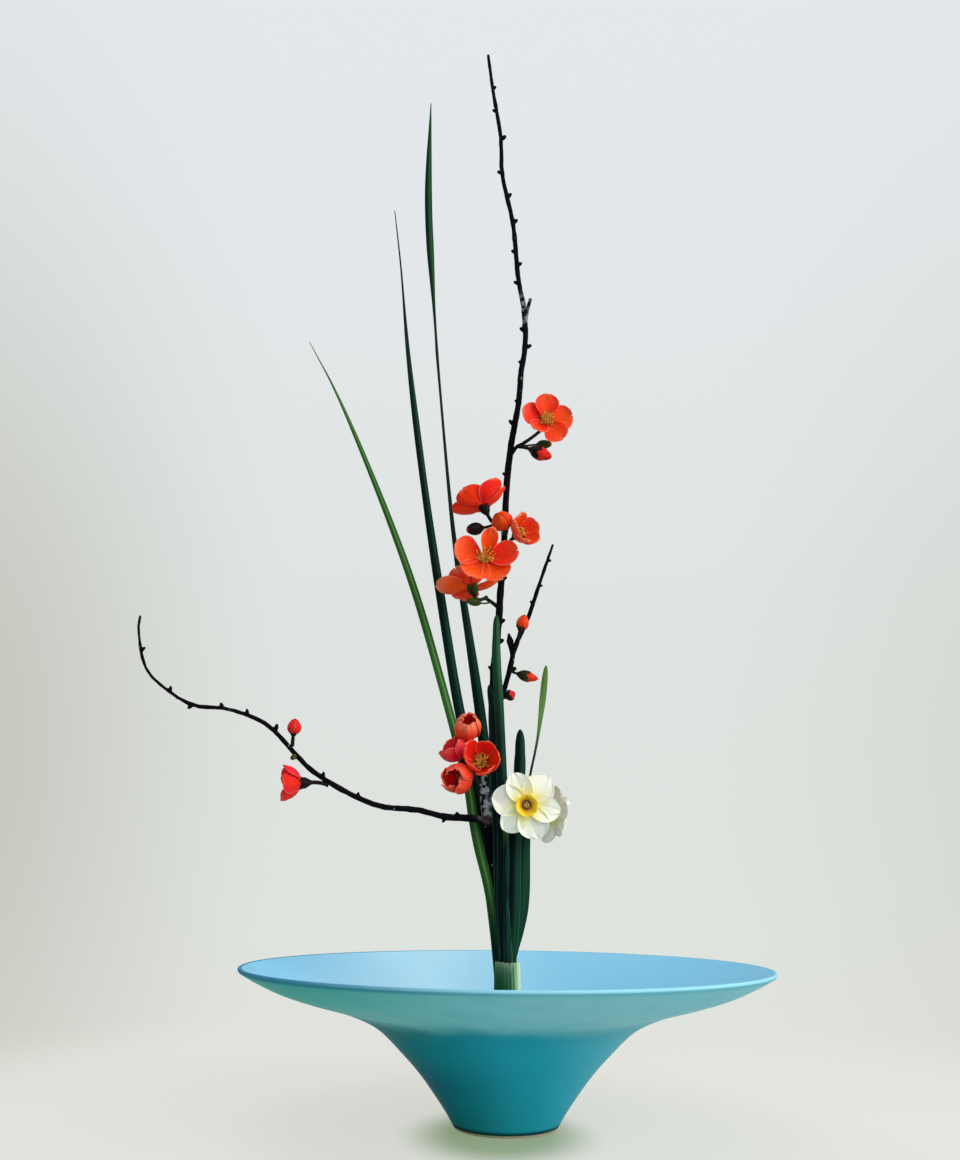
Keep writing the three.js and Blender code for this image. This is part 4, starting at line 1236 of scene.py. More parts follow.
def bloom_place(flower):
    """Seat, direction, reach, cup angle and spin of a flower, from its frame nodes."""
    foot, axis = axis_of(corners(f"{flower}_stamens"))
    seat = foot - axis * BLOOM_SEAT
    turn = facing(axis)
    petals = (corners(f"{flower}_petals") - seat) @ turn
    outward = np.hypot(petals[:, 0], petals[:, 1])
    tip = petals[outward.argmax()]
    reach = np.linalg.norm(tip)
    return seat, turn, reach, math.asin(tip[2] / reach), math.atan2(tip[1], tip[0])


def rounded_outline(power, shoulder):
    """Half width of a petal at each part of its length, 1 at its widest."""
    return lambda along: np.maximum(np.sin(math.pi * along**shoulder), 0) ** power * 0.96 + 0.04


def make_narcissus(narcissus, side, grow, further, seed):
    """One narcissus flower. grow is its size against the frame's, and further a turn about its axis."""
    flower = f"narcissus_{side}"
    seat, turn, reach, cup, spin = bloom_place(flower)
    reach, spin = reach * grow, spin + further
    random = np.random.default_rng(seed)
    tepals = Shape()
    for place in range(TEPALS):
        inner = place % 2
        size = reach * (0.98 - 0.03 * inner + 0.02 * random.random())
        width = size * narcissus.tepal_width * (1.0 - 0.14 * inner)
        bends = (cup + 0.10 + 0.05 * inner, cup - 0.22 - 0.14 * random.random())
        grid, along, across = petal_grid(
            26, 17, size, width, bends, rounded_outline(TEPAL_SHAPE, TEPAL_SHOULDER), TEPAL_DISH,
            wave=TEPAL_WAVE, notch=-TEPAL_POINT, phase=random.random() * 6,
        )
        points, faces = plate(grid + (0, 0, TEPAL_STEP * inner), TEPAL_THICKNESS * (1 - 0.5 * along))
        points = spun(points, spin + place * 2 * math.pi / TEPALS + 0.04 * random.standard_normal())
        marks = {"along": twice(along, grid), "across": twice(across, grid)}
        tepals.add(points @ turn.T + seat, faces, **marks)
    tepals.piece(f"{flower}_tepals", [tepal_finish(narcissus)], "tepal", [f"{flower}_petals"], sharp=60)
    make_cup(narcissus, flower, seat, turn, seed)
    make_throat(narcissus, flower, seat, turn)


def make_cup(narcissus, flower, seat, turn, seed):
    """The cup, a frilled sleeve."""
    corona = (corners(f"{flower}_corona") - seat) @ turn
    radius, deep = np.hypot(corona[:, 0], corona[:, 1]).max(), corona[:, 2].max()
    rise = np.linspace(0, 1, 18)[:, None]
    angle = around(108)[None]
    ribs = np.cos(6 * angle + seed) * 0.6 + np.cos(18 * angle + 0.7 * np.sin(3 * angle)) * 0.4
    outer = radius * (0.45 + 0.57 * rise**0.8) + CUP_FRILL * ribs * rise**3
    inner = outer - CUP_FOOT_WALL - (CUP_RIM_WALL - CUP_FOOT_WALL) * rise
    heights = 0.4 * MM + (deep + 0.2 * MM) * rise + CUP_WAVE * np.sin(7 * angle + seed) * rise**4
    points, faces = sleeve(*(round_grid(size, angle, heights) for size in (outer, inner)))
    cup = Shape()
    marks = {"along": twice(rise, outer), "ribs": twice(ribs * 0.5 + 0.5, outer), "front": 1 - faced(outer)}
    cup.add(points @ turn.T + seat, faces, **marks)
    cup.piece(f"{flower}_cup", [corona_finish(narcissus)], "corona", [f"{flower}_corona"], sharp=60)


def make_throat(narcissus, flower, seat, turn):
    """The dark throat and the anthers in it."""
    throat = plain_finish("narcissus_throat", narcissus.throat, NARCISSUS_THROAT_SHADE)
    pollen = plain_finish("narcissus_pollen", narcissus.anther, narcissus.corona)
    parts = Shape()
    points, faces = turned(NARCISSUS_THROAT, 24)
    parts.add(points @ turn.T + seat, faces)
    for place in range(6):
        low = place % 2
        middle = round_grid((1.1 + 0.5 * low) * MM, place * math.pi / 3 + 0.4, (3.0 - 1.1 * low) * MM)
        points, faces = egg(middle, ANTHER)
        parts.add(points @ turn.T + seat, faces, 1)
    points, faces = egg((0, 0, 2.6 * MM), STYLE)
    parts.add(points @ turn.T + seat, faces, 1)
    parts.piece(f"{flower}_anthers", [throat, pollen], "stamen", [f"{flower}_stamens"])


# ---------------------------------------------------------------- quince flowers

PETAL_SHAPE = 0.52  # power of a petal's outline: smaller is fuller
PETAL_SHOULDER = 1.45  # larger puts the widest place nearer the tip
PETAL_LIMIT = 0.86  # greatest turn from a petal's middle to its edge round the flower, in radians
PETAL_BREADTH = 1.5  # width of a petal that has a width of 1 in the settings, against its length
PETAL_FOOT, PETAL_RISE = 0.9 * MM, 0.5 * MM  # where a petal starts, out from the axis and up
PETAL_RIPPLE = 0.026  # height of its ripples, as a part of its length
QUINCE_THROAT = np.array([(0, -0.2), (2.3, -0.2), (2.6, 0.5), (1.2, 0.9), (0, 0.8)]) * MM
FILAMENT_FOOT, FILAMENT_HEAD = 0.22 * MM, 0.15 * MM  # radii
CALYX_RADIUS, CALYX_LENGTH = 3.8 * MM, 6.2 * MM
SEPAL_THICKNESS = 0.35 * MM
GOLDEN_ANGLE = 2.39996  # turn from one stamen to the next, which spreads them evenly
POLLEN_GRAIN = (0.16, 0.11, 0.02)
QUINCE_THROAT_SHADE = (0.14, 0.10, 0.02)
SHARED = {}  # finishes that several pieces use


def petal_finish(quince):
    """Petals between orange, scarlet and crimson, with veins, a paler rim, a pale foot, and painted shade
    towards the feet of the petals.
    """
    finish = Finish("quince_petal_skin")
    along, across, tint = finish.mark("along"), finish.mark("across"), finish.mark("tint")
    cloud = finish.noise(130, 4)
    tone = tint + (cloud - 0.5) * 0.45 + across * across * 0.22 - 0.05
    colours = finish.mix(tone.between(0.0, 0.5), quince.orange, quince.scarlet)
    colours = finish.mix(tone.between(0.5, 1.0), colours, quince.crimson)
    fan = across / (along * 0.8 + 0.35)
    veins = (fan * 30 + cloud * 3).math("SINE") * 0.5 + 0.5
    colours = finish.mix(veins * 0.16, colours, quince.vein)
    back = finish.mark("back")
    # painted shade: darker towards the petals' feet inside the flower, as much as the deep mark says
    low = (1 - along.between(0.1, 0.8)) * (0.28 + cloud * 0.25) * (1 - back * 0.6) * finish.mark("deep")
    colours = finish.mix(low + back * 0.12, colours, quince.vein)
    edge = abs(across).between(0.86, 1.0).math("MAXIMUM", along.between(0.93, 1.0))
    colours = finish.mix(edge * finish.mark("rim"), colours, quince.rim)
    blush = along.between(0.55, 1.0) * finish.mark("blush")
    colours = finish.mix(blush, colours, quince.blush)
    colours = finish.mix((1 - along.between(0.03, 0.24)) * (1 - back) * 0.7, colours, quince.claw)
    return finish.surface(
        base_color=colours,
        roughness=0.5 + cloud * 0.16,
        normal=finish.bump(veins * 0.6 + cloud, 0.16 * MM),
        subsurface_weight=0.45,
        subsurface_radius=(1.0, 0.25, 0.08),
        subsurface_scale=1.6 * MM,
        specular_ior_level=0.12,
    )


def filament_finish(quince):
    """Pale yellow threads."""
    return plain_finish("quince_filament_skin", quince.filament, quince.claw)


def pollen_finish(quince):
    """Yellow pollen heads with darker grains."""
    return plain_finish("quince_pollen_skin", quince.pollen, POLLEN_GRAIN)


def throat_finish(quince):
    """Dark middle of a flower."""
    return plain_finish("quince_throat_skin", quince.throat, QUINCE_THROAT_SHADE)


def shared(build, settings):
    """The material that build makes, made once and used for every flower and bud."""
    if build.__name__ not in SHARED:
        SHARED[build.__name__] = build(settings)
    return SHARED[build.__name__]


def calyx_finish(quince):
    """Dark calyx, browner or greener towards its tips."""
    finish = Finish("quince_calyx_skin")
    mottle = finish.noise(500, 4)
    colours = finish.mix(finish.mark("green"), quince.calyx, quince.sepal)
    colours = finish.mix(mottle.between(0.4, 0.75) * 0.4, colours, quince.calyx)
    return finish.surface(
        base_color=colours, roughness=0.5, normal=finish.bump(mottle, 0.15 * MM), specular_ior_level=0.1
    )


def whorl_petal(size, width, cup, closed, start, overlap, wave, notch, phase):
    """A petal of a whorl round Z, in the direction of +X, that faces the axis.

    size is the straight length from its foot to its tip, and cup the angle of that line above XY.
    closed runs from 0 for a flat flower to 1 for a round cup. start is how far its foot lies from Z,
    overlap how far its edges lie over and under the next petals, wave the height of its ripples, and
    notch how deep its tip is cut, as a part of its length. Also gives how far the rows lie along it
    and the columns across it.
    """
    rows, columns = ((26, 19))
    along = 0.5 - 0.5 * np.cos(math.pi * np.linspace(0.04, 1, rows))[:, None]
    across = np.linspace(-1, 1, columns)[None]
    fine = np.linspace(0, 1, 200)
    opened = np.interp(fine, (0, 0.35, 1), (0.85, 0.05, 0.30))
    shut = np.interp(fine, (0, 0.5, 1), (0.10, 1.10, 1.90))
    angle = opened * (1 - closed) + shut * closed
    angle = angle + cup - math.atan2(np.sin(angle).sum(), np.cos(angle).sum())
    x, z = np.cumsum(np.cos(angle)) / 200, np.cumsum(np.sin(angle)) / 200
    scale = size / math.hypot(x[-1], z[-1])
    tip = along - notch * along**6 * np.exp(-((across / 0.25) ** 2))
    out, rise = start + np.interp(tip, fine, x) * scale, np.interp(tip, fine, z) * scale
    slope = np.interp(tip, fine, angle)
    half = rounded_outline(PETAL_SHAPE, PETAL_SHOULDER)(along) * width / 2
    turn = across * PETAL_LIMIT * np.tanh(half / (out * PETAL_LIMIT))
    grown = ramp(0.05, 0.45, along)
    hollow = 0.10 * size * (1 - 0.5 * closed) * (1 - across**2) * np.sin(math.pi * along) ** 0.8
    ripple = np.sin(across * 5.2 + phase + along * 3) * np.abs(across) ** 1.5
    ripple = ripple + 0.8 * np.sin(across * 8 + phase * 2) * along**5
    lift = (overlap * across + wave * ripple) * grown - hollow
    grid = round_grid(out - np.sin(slope) * lift, turn, rise + np.cos(slope) * lift)
    return grid, along, across


def make_petals(quince, flower, place, look, seed):
    """Five overlapping petals of one flower."""
    seat, turn, reach, cup, spin = place
    reach *= look.get("grow", 1)
    closed = look.get("closed", 0.0)
    random = np.random.default_rng(seed)
    evenly = [(math.degrees(spin) + petal * 72, 1, 1, 0, 0) for petal in range(5)]
    shape = Shape()
    for angle, size, width, lift, redder in look.get("petals", evenly):
        size = reach * size * (1 - 0.05 * random.random())
        width = size * quince.width * width * (0.97 + 0.08 * random.random()) * PETAL_BREADTH
        lean = 0.06 * random.standard_normal() + math.radians(lift)
        grid, along, across = whorl_petal(
            size, width, cup + lean, closed, start=PETAL_FOOT, overlap=0.25 * MM + 0.035 * size,
            wave=PETAL_RIPPLE * size, notch=0.03 + 0.03 * random.random(), phase=6 * random.random(),
        )
        points, faces = plate(grid + (0, 0, PETAL_RISE), quince.thickness)
        points = spun(points, math.radians(angle) + 0.04 * random.standard_normal())
        marks = {"along": twice(along, grid), "across": twice(across, grid), "back": 1 - faced(grid)}
        shade = np.clip(look["tint"] + redder + 0.10 * random.standard_normal(), 0, 1)
        marks |= {"tint": shade, "rim": 0.45, "blush": look.get("blush", 0.0), "deep": look.get("deep", 1.0)}
        shape.add(points @ turn.T + seat, faces, **marks)
    skin = shared(petal_finish, quince)
    shape.piece(f"{flower}_blades", [skin], "quince_petal", [f"{flower}_petals"], sharp=70)


def make_stamens(quince, flower, place, spread, seed):
    """Threads with pollen heads, and the throat below them."""
    seat, turn, reach, cup, _ = place
    random = np.random.default_rng(seed + 100)
    shape = Shape()
    count = max(12, quince.stamens // (1))
    tall = reach * 0.42
    closed = ramp(0.5, 1.2, cup)
    points, faces = turned(QUINCE_THROAT, 16)
    shape.add(points @ turn.T + seat, faces, 2)
    for stamen in range(count):
        angle = stamen * GOLDEN_ANGLE + 0.3 * random.standard_normal()
        part = math.sqrt((stamen + 0.5) / count)
        out = part * (2.0 * MM + (1 - 0.6 * closed) * reach * 0.20) * spread
        top = tall * (1.05 - 0.35 * part * random.random() - 0.15 * part)
        foot = round_grid((0.6 + 1.1 * part) * MM, angle, 0)
        head = round_grid(out, angle, top)
        route = bowed(foot, head * (0.62, 0.62, 0.55) + foot * 0.5, head, 5)
        points, faces = tube(route, np.linspace(FILAMENT_FOOT, FILAMENT_HEAD, 5), 5)
        shape.add(points @ turn.T + seat, faces, 0)
        size = (0.55 + 0.15 * random.random()) * MM
        tilt = facing(unit(random.standard_normal(3)))
        points, faces = egg(head, (size * 0.75, size * 0.75, size * 1.25), tilt, 7, 5)
        shape.add(points @ turn.T + seat, faces, 1)
    skins = [shared(filament_finish, quince), shared(pollen_finish, quince), shared(throat_finish, quince)]
    shape.piece(f"{flower}_threads", skins, "stamen", [f"{flower}_stamens"])


def sepal_outline(along):
    """Half width of a sepal at each part of its length, 1 at its widest."""
    return np.sqrt(np.clip(1 - along**1.8, 0.02, 1))


def make_calyx(quince, flower, place, green, seed):
    """The calyx of a flower: a cup with five sepals, on a stalk from the bark."""
    seat, turn, *_ = place
    radius, length = CALYX_RADIUS, CALYX_LENGTH
    random = np.random.default_rng(seed + 200)
    t = np.linspace(0, 1, 9)
    bell = np.stack([radius * (0.34 + 0.66 * ramp(0.0, 0.9, t) ** 0.8), length * (t - 1)], 1)
    inner = np.stack([np.full(3, radius * 0.82), np.linspace(0, -0.25 * length, 3)], 1)
    points, faces = turned(np.vstack([[0, -length], bell, inner, [0, -0.3 * length]]), 20)
    shape = Shape()
    shade = np.clip(green * (points[:, 2] / length + 1), 0, 1)
    shape.add(points @ turn.T + seat, faces, green=shade)
    for sepal in range(5):
        bends = 1.25, 0.9 + 0.3 * random.random()
        grid, along, _ = petal_grid(8, 7, length * 0.62, radius * 1.05, bends, sepal_outline, 42)
        points, faces = plate(grid + (radius * 0.93, 0, -0.3 * MM), SEPAL_THICKNESS)
        points = spun(points, sepal * 2 * math.pi / 5 + 0.3)
        shade = np.clip(green * (1.2 + 0.5 * along), 0, 1)
        shape.add(points @ turn.T + seat, faces, green=twice(shade, grid))
    points = corners(f"{flower}_calyx")
    away = np.linalg.norm(points - seat, axis=1)
    root = points[away > away.max() - 2.5 * MM].mean(0)
    axis = turn[:, 2]
    bottom = seat - axis * length * 0.97
    pull = bottom - axis * np.linalg.norm(root - bottom) * 0.5
    route = bowed(root, pull, bottom + axis * length * 0.1, 9)
    shape.add(*tube(route, np.interp(t, [0, 0.15, 1], [0.42, 0.34, 0.36]) * radius, 10), green=green * 0.4)
    skin = shared(calyx_finish, quince)
    shape.piece(f"{flower}_sepals", [skin], "calyx", [f"{flower}_calyx"], sharp=60)


def make_flower(quince, name, look, seed):
    """One quince flower."""
    flower = f"quince_{name}"
    seat, turn, reach, cup, spin = bloom_place(flower)
    if "aim" in look:
        turn = facing(unit(np.array(look["aim"])))
    if "cup" in look:
        cup = math.radians(look["cup"])
    place = seat, turn, reach, cup, spin
    make_petals(quince, flower, place, look, seed)
    make_stamens(quince, flower, place, look.get("spread", 1), seed)
    make_calyx(quince, flower, place, look["green"], seed)


# How each flower looks.
#   tint    0 for orange to 1 for crimson
#   green   how green its calyx is
#   blush   how pale the tips of its petals are
#   deep    how much painted shade darkens the inside of the flower, towards the petals' feet
#   grow    its size against the frame's
#   closed  0 for a flat flower to 1 for a round cup
#   cup     angle of its petals above its plane, in degrees, where it isn't the frame's
#   aim     its direction, where it isn't the frame's
#   spread  how widely its stamens spread, against the plain ones
#   petals  where they aren't alike: angle in degrees, size, width, lift in degrees, how much redder
FLOWERS = {
    "top": {
        "tint": 0.15, "green": 0.4, "blush": 0.1,
        "petals": [
            # On the top flower the last two petals are redder as painted shade.
            (95, 1.0, 1.0, 8, 0), (23, 1.0, 1.0, 0, 0), (-49, 1.0, 1.0, 0, 0.1),
            (-121, 0.86, 0.92, 18, 0.3), (167, 0.98, 1.1, 6, 0.35),
        ],
    },
    "fan": {"tint": 0.35, "green": 0.0, "grow": 1.14, "closed": 0.1},
    "small_cup": {
        "tint": 0.15, "green": 0.2, "blush": 0.25, "closed": 0.75, "cup": 50, "aim": (0.55, -0.8, 0.2),
    },
    "open": {
        "tint": 0.1, "green": 0.3, "blush": 0.1,
        "petals": [
            (88, 0.94, 0.45, 34, 0.1), (10, 1.0, 0.7, 4, 0.35), (-50, 0.92, 1.0, 0, 0),
            (-118, 0.92, 1.2, 4, 0), (172, 0.9, 1.45, 4, 0.1),
        ],
    },
    "lower": {
        "tint": 0.22, "green": 0.6, "deep": 0.3, "grow": 1.2, "blush": 0.3, "closed": 0.1, "cup": 14,
        "aim": (-0.25, 0.2, 0.92),
        "petals": [
            (188, 1.1, 0.95, 0, -0.1), (235, 0.85, 1.0, 22, 0.1), (322, 0.7, 0.9, 30, 0.1),
            (28, 0.95, 1.0, 4, 0), (110, 0.9, 1.0, 0, 0.1),
        ],
    },
    "crown": {"tint": 0.3, "green": 0.3, "blush": 0.3, "deep": 1.8, "grow": 0.96, "closed": 1.25, "cup": 78},
    "face": {"tint": 0.42, "green": 0.2, "closed": 0.8, "cup": 53, "aim": (0, -0.96, 0.26), "spread": 1.45},
    "back": {"tint": 1.0, "green": 0.2, "grow": 1.02, "blush": 0.1, "closed": 0.85, "cup": 62},
    "lower_cup": {
        "tint": 0.42, "green": 0.5, "grow": 1.14, "blush": 0.1, "deep": 0.1, "closed": 1.05, "cup": 76,
        "aim": (-0.45, -0.88, -0.12),
    },
    "arm": {"tint": 0.75, "green": 0.0, "deep": 1.6, "closed": 0.6},
}


def make_flowers(quince):
    """All open quince flowers."""
    for seed, (name, look) in enumerate(FLOWERS.items()):
        make_flower(quince, name, look, seed)


# ---------------------------------------------------------------- quince buds

# Tint of each bud from 0 for orange to 1 for crimson, how green its calyx is, how much of its length
# the calyx covers, and its length against the frame's.
BUDS = {
    "half_open": (0.15, 0.3, 0.25, 1.35),
    "top_orange": (0.6, 0.05, 0.6, 1),
    "top_green": (0.5, 1.0, 0.96, 1),
    "fan_brown": (1.0, 0.05, 0.95, 1),
    "lower_green": (0.5, 1.0, 0.95, 1),
    "twig_orange": (0.15, 0.2, 0.25, 1.1),
    "twig_stalk": (0.45, 0.4, 0.6, 1),
    "twig_low": (0.8, 0.12, 0.68, 1.6),
    "arm_red": (0.8, 0.1, 0.12, 0.8),
    "arm_green": (0.4, 1.0, 1.0, 1),
}
BUD_PETAL_THICKNESS = 0.3 * MM
BUD_CALYX_OUT, BUD_CALYX_IN = 0.75 * MM, 0.3 * MM  # the calyx's two faces, out from the bud's surface
SHORTEST_STALK = 0.6 * MM  # a bud that sits nearer to the bark has no stalk


def bark_points():
    """Points of both branches."""
    return np.vstack([corners("quince_branch_tall"), corners("quince_branch_low")])


def bud_place(node, bark):
    """Root, middle, tip and greatest radius of a bud, from its frame node."""
    points = corners(node)
    gaps = np.array([np.linalg.norm(bark - point, axis=1).min() for point in points])
    root = points[gaps.argsort()[:4]].mean(0)
    away = np.linalg.norm(points - root, axis=1)
    tip = points[away.argmax()]
    bulb = points[np.linalg.norm(points - tip, axis=1) < 0.6 * away.max()]
    middle = bulb.mean(0)
    axis = unit(tip - middle)
    out = np.linalg.norm(np.cross(bulb - middle, axis), axis=1)
    return root, middle, tip, out.max()


def bulge(part):
    """Half width of a bud at each part of its length, 1 at its widest."""
    return np.sin(math.pi * part**0.86) ** 0.62


def add_bud_petals(shape, foot, turn, radius, tall, tint, seed):
    """The bud's solid core, and five petals rolled round it and each other."""
    t = np.linspace(0, 1, 15)
    points, faces = turned(np.stack([radius * 0.9 * bulge(t), tall * t], 1), 24)
    # deep darkens the bud with painted shade, inside it and towards its foot
    marks = {"along": 0.5, "across": 0.2, "tint": tint, "rim": 0.3, "back": 0.3, "deep": 1.6}
    shape.add(points @ turn.T + foot, faces, 1, **marks)
    random = np.random.default_rng(seed + 300)
    along = np.linspace(0.02, 1, 15)[:, None]
    across = np.linspace(-1, 1, 11)[None]
    over = 0.5 * across + 0.5  # 0 at the edge that is tucked in, 1 at the edge that lies over the next
    size = radius * (0.93 + 0.10 * over) * bulge(along) + 0.5 * MM * over * (1 - along)
    for petal in range(5):
        start = petal * 2 * math.pi / 5 + 0.2 * random.random()
        spiral = start + across * (0.95 - 0.35 * along) + 0.9 * along
        crest = tall * along * (1.0 - 0.08 * across**2) * (1 + 0.02 * random.random())
        grid = round_grid(size, spiral, crest)
        points, faces = plate(grid, BUD_PETAL_THICKNESS)
        marks = {"along": twice(0.35 + 0.6 * along, grid), "across": twice(across, grid)}
        marks |= {"tint": np.clip(tint + 0.1 * random.standard_normal(), 0, 1)}
        shape.add(points @ turn.T + foot, faces, 1, rim=0.5, back=0.2, deep=1.6, **marks)


def add_bud_calyx(shape, foot, turn, radius, tall, cover, green):
    """A lobed cup that follows the bud up to its share, and the knob below it."""
    rise = np.linspace(0, 1, 14)[:, None]
    angle = around(30)[None]
    part = rise * cover * (1 - 0.6 * (1 - cover) * np.sin(2.5 * angle) ** 2)
    size = radius * bulge(np.clip(part, 0.002, 1))
    walls = BUD_CALYX_OUT, BUD_CALYX_IN
    outer, inner = (round_grid(size + out, angle, tall * part) for out in walls)
    points, faces = sleeve(outer, inner)
    shade = np.clip(green * (0.3 + 0.9 * rise), 0, 1)
    shape.add(points @ turn.T + foot, faces, green=twice(shade, outer))
    knob = np.array([0.5, 0.5, 0.4]) * radius
    shape.add(*egg(foot + turn[:, 2] * 0.2 * MM, knob, turn, 12, 6), green=green * 0.3)


def make_bud(quince, name, bark, tint, green, cover, length, seed):
    """A closed bud in its calyx, on its stalk."""
    node = f"quince_bud_{name}"
    root, middle, tip, radius = bud_place(node, bark)
    radius *= quince.bud_width
    axis = unit(tip - middle)
    tall = np.linalg.norm(tip - middle) * 2 * length
    foot = tip - axis * tall * 0.98
    turn = facing(axis)
    shape = Shape()
    add_bud_petals(shape, foot, turn, radius, tall, tint, seed)
    add_bud_calyx(shape, foot, turn, radius, tall, cover, green)
    drop = np.linalg.norm(root - foot)
    if drop > SHORTEST_STALK:
        route = bowed(root, foot - axis * drop * 0.5, foot + axis * 0.6 * MM, 8)
        shape.add(*tube(route, np.linspace(0.32, 0.26, 8) * radius, 10), green=green * 0.5)
    skins = [shared(calyx_finish, quince), shared(petal_finish, quince)]
    shape.piece(f"bud_{name}", skins, "quince_petal", [node], sharp=60)


def make_buds(quince):
    """All closed quince buds."""
    bark = bark_points()
    for seed, (name, look) in enumerate(BUDS.items()):
        make_bud(quince, name, bark, *look, seed)


# ---------------------------------------------------------------- studio

SHADE_MIDDLE = (-4 * MM, -16 * MM, 0)  # middle of the floor's shade, in front of the foot
SHADE_REACH = (26 * MM, 66 * MM)  # distances from it between which the shade ends
SHADE_STRETCH = (1, 0.75, 1)  # below 1 draws the shade out along that axis
# Each lamp's place, the point it is aimed at, its side in metres and its power in watts.
LAMPS = {
    "key_light": ((1.3, -0.8, 0.9), (0, 0, 0.3), 1.0, 16),
    "front_light": ((0.6, -1.4, 0.75), (0, 0, 0.3), 1.2, 9),
    "low_light": ((1.2, -0.5, 0.14), (0, 0, 0.06), 0.5, 2.5),
    "top_light": ((-0.3, -0.3, 1.9), (0, 0, 0.3), 1.0, 7),
    "rim_light": ((-0.7, 1.3, 1.1), (0, 0, 0.35), 0.9, 5),
}
CAMERA_PLACE = (-0.019, -0.6955, 0.1409)
CAMERA_TILT, CAMERA_ROLL = 107.2, 0.5  # in degrees; a tilt of 90 looks level, and more looks up
CAMERA_LENS, CAMERA_SENSOR = 31.03, 36  # in millimetres


def make_floor(studio):
    """A large floor that glows softly itself so that shadows stay faint, with a painted shadow beside the
    foot, and that fades into the background.
    """
    finish = Finish("studio_floor")
    shade = 1 - finish.distance(SHADE_MIDDLE, SHADE_STRETCH).between(*SHADE_REACH)
    finish.surface(
        base_color=(studio.floor_lit,) * 3,
        roughness=0.8,
        emission_color=finish.mix(shade, studio.floor, studio.floor_shade),
        emission_strength=studio.floor_glow,
        specular_ior_level=0.1,
    )
    clear = finish.node("ShaderNodeBsdfTransparent")
    solid = Wire(finish, finish.shader.outputs[0])
    fade = finish.distance((0, 0, 0)).between(studio.clear_from, studio.clear_to)
    blend = finish.node("ShaderNodeMixShader", None, {0: fade * fade * (3 - fade * 2), 1: solid, 2: clear})
    finish.connect(finish.nodes["Material Output"].inputs["Surface"], blend)
    edge = round_grid(studio.floor_radius, around(96), 0)
    mesh = bpy.data.meshes.new("studio_floor")
    mesh.from_pydata(edge.tolist(), [], [list(range(len(edge)))])
    mesh.materials.append(finish.material)
    floor = bpy.data.objects.new("studio_floor", mesh)
    bpy.context.scene.collection.objects.link(floor)


def make_air(studio):
    """The background, pale all round. Its colour follows the direction, and it lights the scene less."""
    world = bpy.data.worlds.new("studio_air")
    bpy.context.scene.world = world
    tree = ShaderTree(world)
    aim = tree.node("ShaderNodeTexCoord", output="Generated")
    up = tree.node("ShaderNodeSeparateXYZ", inputs={0: aim}, output="Z")
    side = tree.node("ShaderNodeSeparateXYZ", inputs={0: aim}, output="X")
    colours = tree.mix(up.between(-0.35, 0.1), studio.below, studio.level)
    colours = tree.mix(up.between(0.1, 0.75), colours, studio.above)
    sides = 1 - side.between(-0.5, -0.17) + side.between(0.2, 0.55) * 0.4
    dim = sides * (1 - abs(up - 0.1).between(0.0, 0.75))
    colours = tree.mix(dim, colours, studio.corner)
    seen = tree.node("ShaderNodeLightPath", output="Is Camera Ray")
    background = tree.nodes["Background"]
    tree.connect(background.inputs["Color"], colours)
    tree.connect(background.inputs["Strength"], seen * (1 - studio.air_light) + studio.air_light)


def make_lamp(name, place, target, size, watts):
    """A soft square white light aimed at a point."""
    data = bpy.data.lights.new(name, "AREA")
    data.size = size
    data.energy = watts
    lamp = bpy.data.objects.new(name, data)
    lamp.location = place
    lamp.visible_camera = False
    lamp.rotation_euler = (Vector(target) - Vector(place)).to_track_quat("-Z", "Y").to_euler()
    bpy.context.scene.collection.objects.link(lamp)


def make_camera():
    """The camera, a little above the bowl's lip and looking up."""
    data = bpy.data.cameras.new("studio_camera")
    data.lens = CAMERA_LENS
    data.sensor_width = CAMERA_SENSOR
    data.clip_start = 0.01
    data.dof.use_dof = False
    camera = bpy.data.objects.new("studio_camera", data)
    tilt = Matrix.Rotation(math.radians(CAMERA_TILT), 4, "X")
    roll = Matrix.Rotation(math.radians(CAMERA_ROLL), 4, "Z")
    camera.matrix_world = Matrix.Translation(CAMERA_PLACE) @ tilt @ roll
    bpy.context.scene.collection.objects.link(camera)
    bpy.context.scene.camera = camera


def make_studio(studio):
    """Floor, background, lights and camera."""
    make_floor(studio)
    make_air(studio)
    for name, lamp in LAMPS.items():
        make_lamp(name, *lamp)
    make_camera()
    bpy.context.scene.view_settings.view_transform = "Standard"


# ---------------------------------------------------------------- operators


class IKEBANA_OT_bowl(bpy.types.Operator):
    """Build the bowl"""

    bl_idname = "ikebana.bowl"
    bl_label = "Bowl"

    def execute(self, context):
        make_bowl(context.scene.ikebana.bowl)
        return {"FINISHED"}


class IKEBANA_OT_pin_holder(bpy.types.Operator):
    """Build the pin holder"""

    bl_idname = "ikebana.pin_holder"
    bl_label = "Pin holder"

    def execute(self, context):
        make_pin_holder(context.scene.ikebana.holder)
        return {"FINISHED"}


class IKEBANA_OT_branches(bpy.types.Operator):
    """Build both quince branches"""

    bl_idname = "ikebana.branches"
    bl_label = "Quince branches"

    def execute(self, context):
        make_branches(context.scene.ikebana.bark)
        return {"FINISHED"}


class IKEBANA_OT_sword_leaves(bpy.types.Operator):
    """Build the three sword leaves"""

    bl_idname = "ikebana.sword_leaves"
    bl_label = "Sword leaves"

    def execute(self, context):
        make_sword_leaves(context.scene.ikebana.leaf)
        return {"FINISHED"}


class IKEBANA_OT_narcissus_leaves(bpy.types.Operator):
    """Build the narcissus leaves"""

    bl_idname = "ikebana.narcissus_leaves"
    bl_label = "Narcissus leaves"

    def execute(self, context):
        make_narcissus_leaves(context.scene.ikebana.leaf)
        return {"FINISHED"}


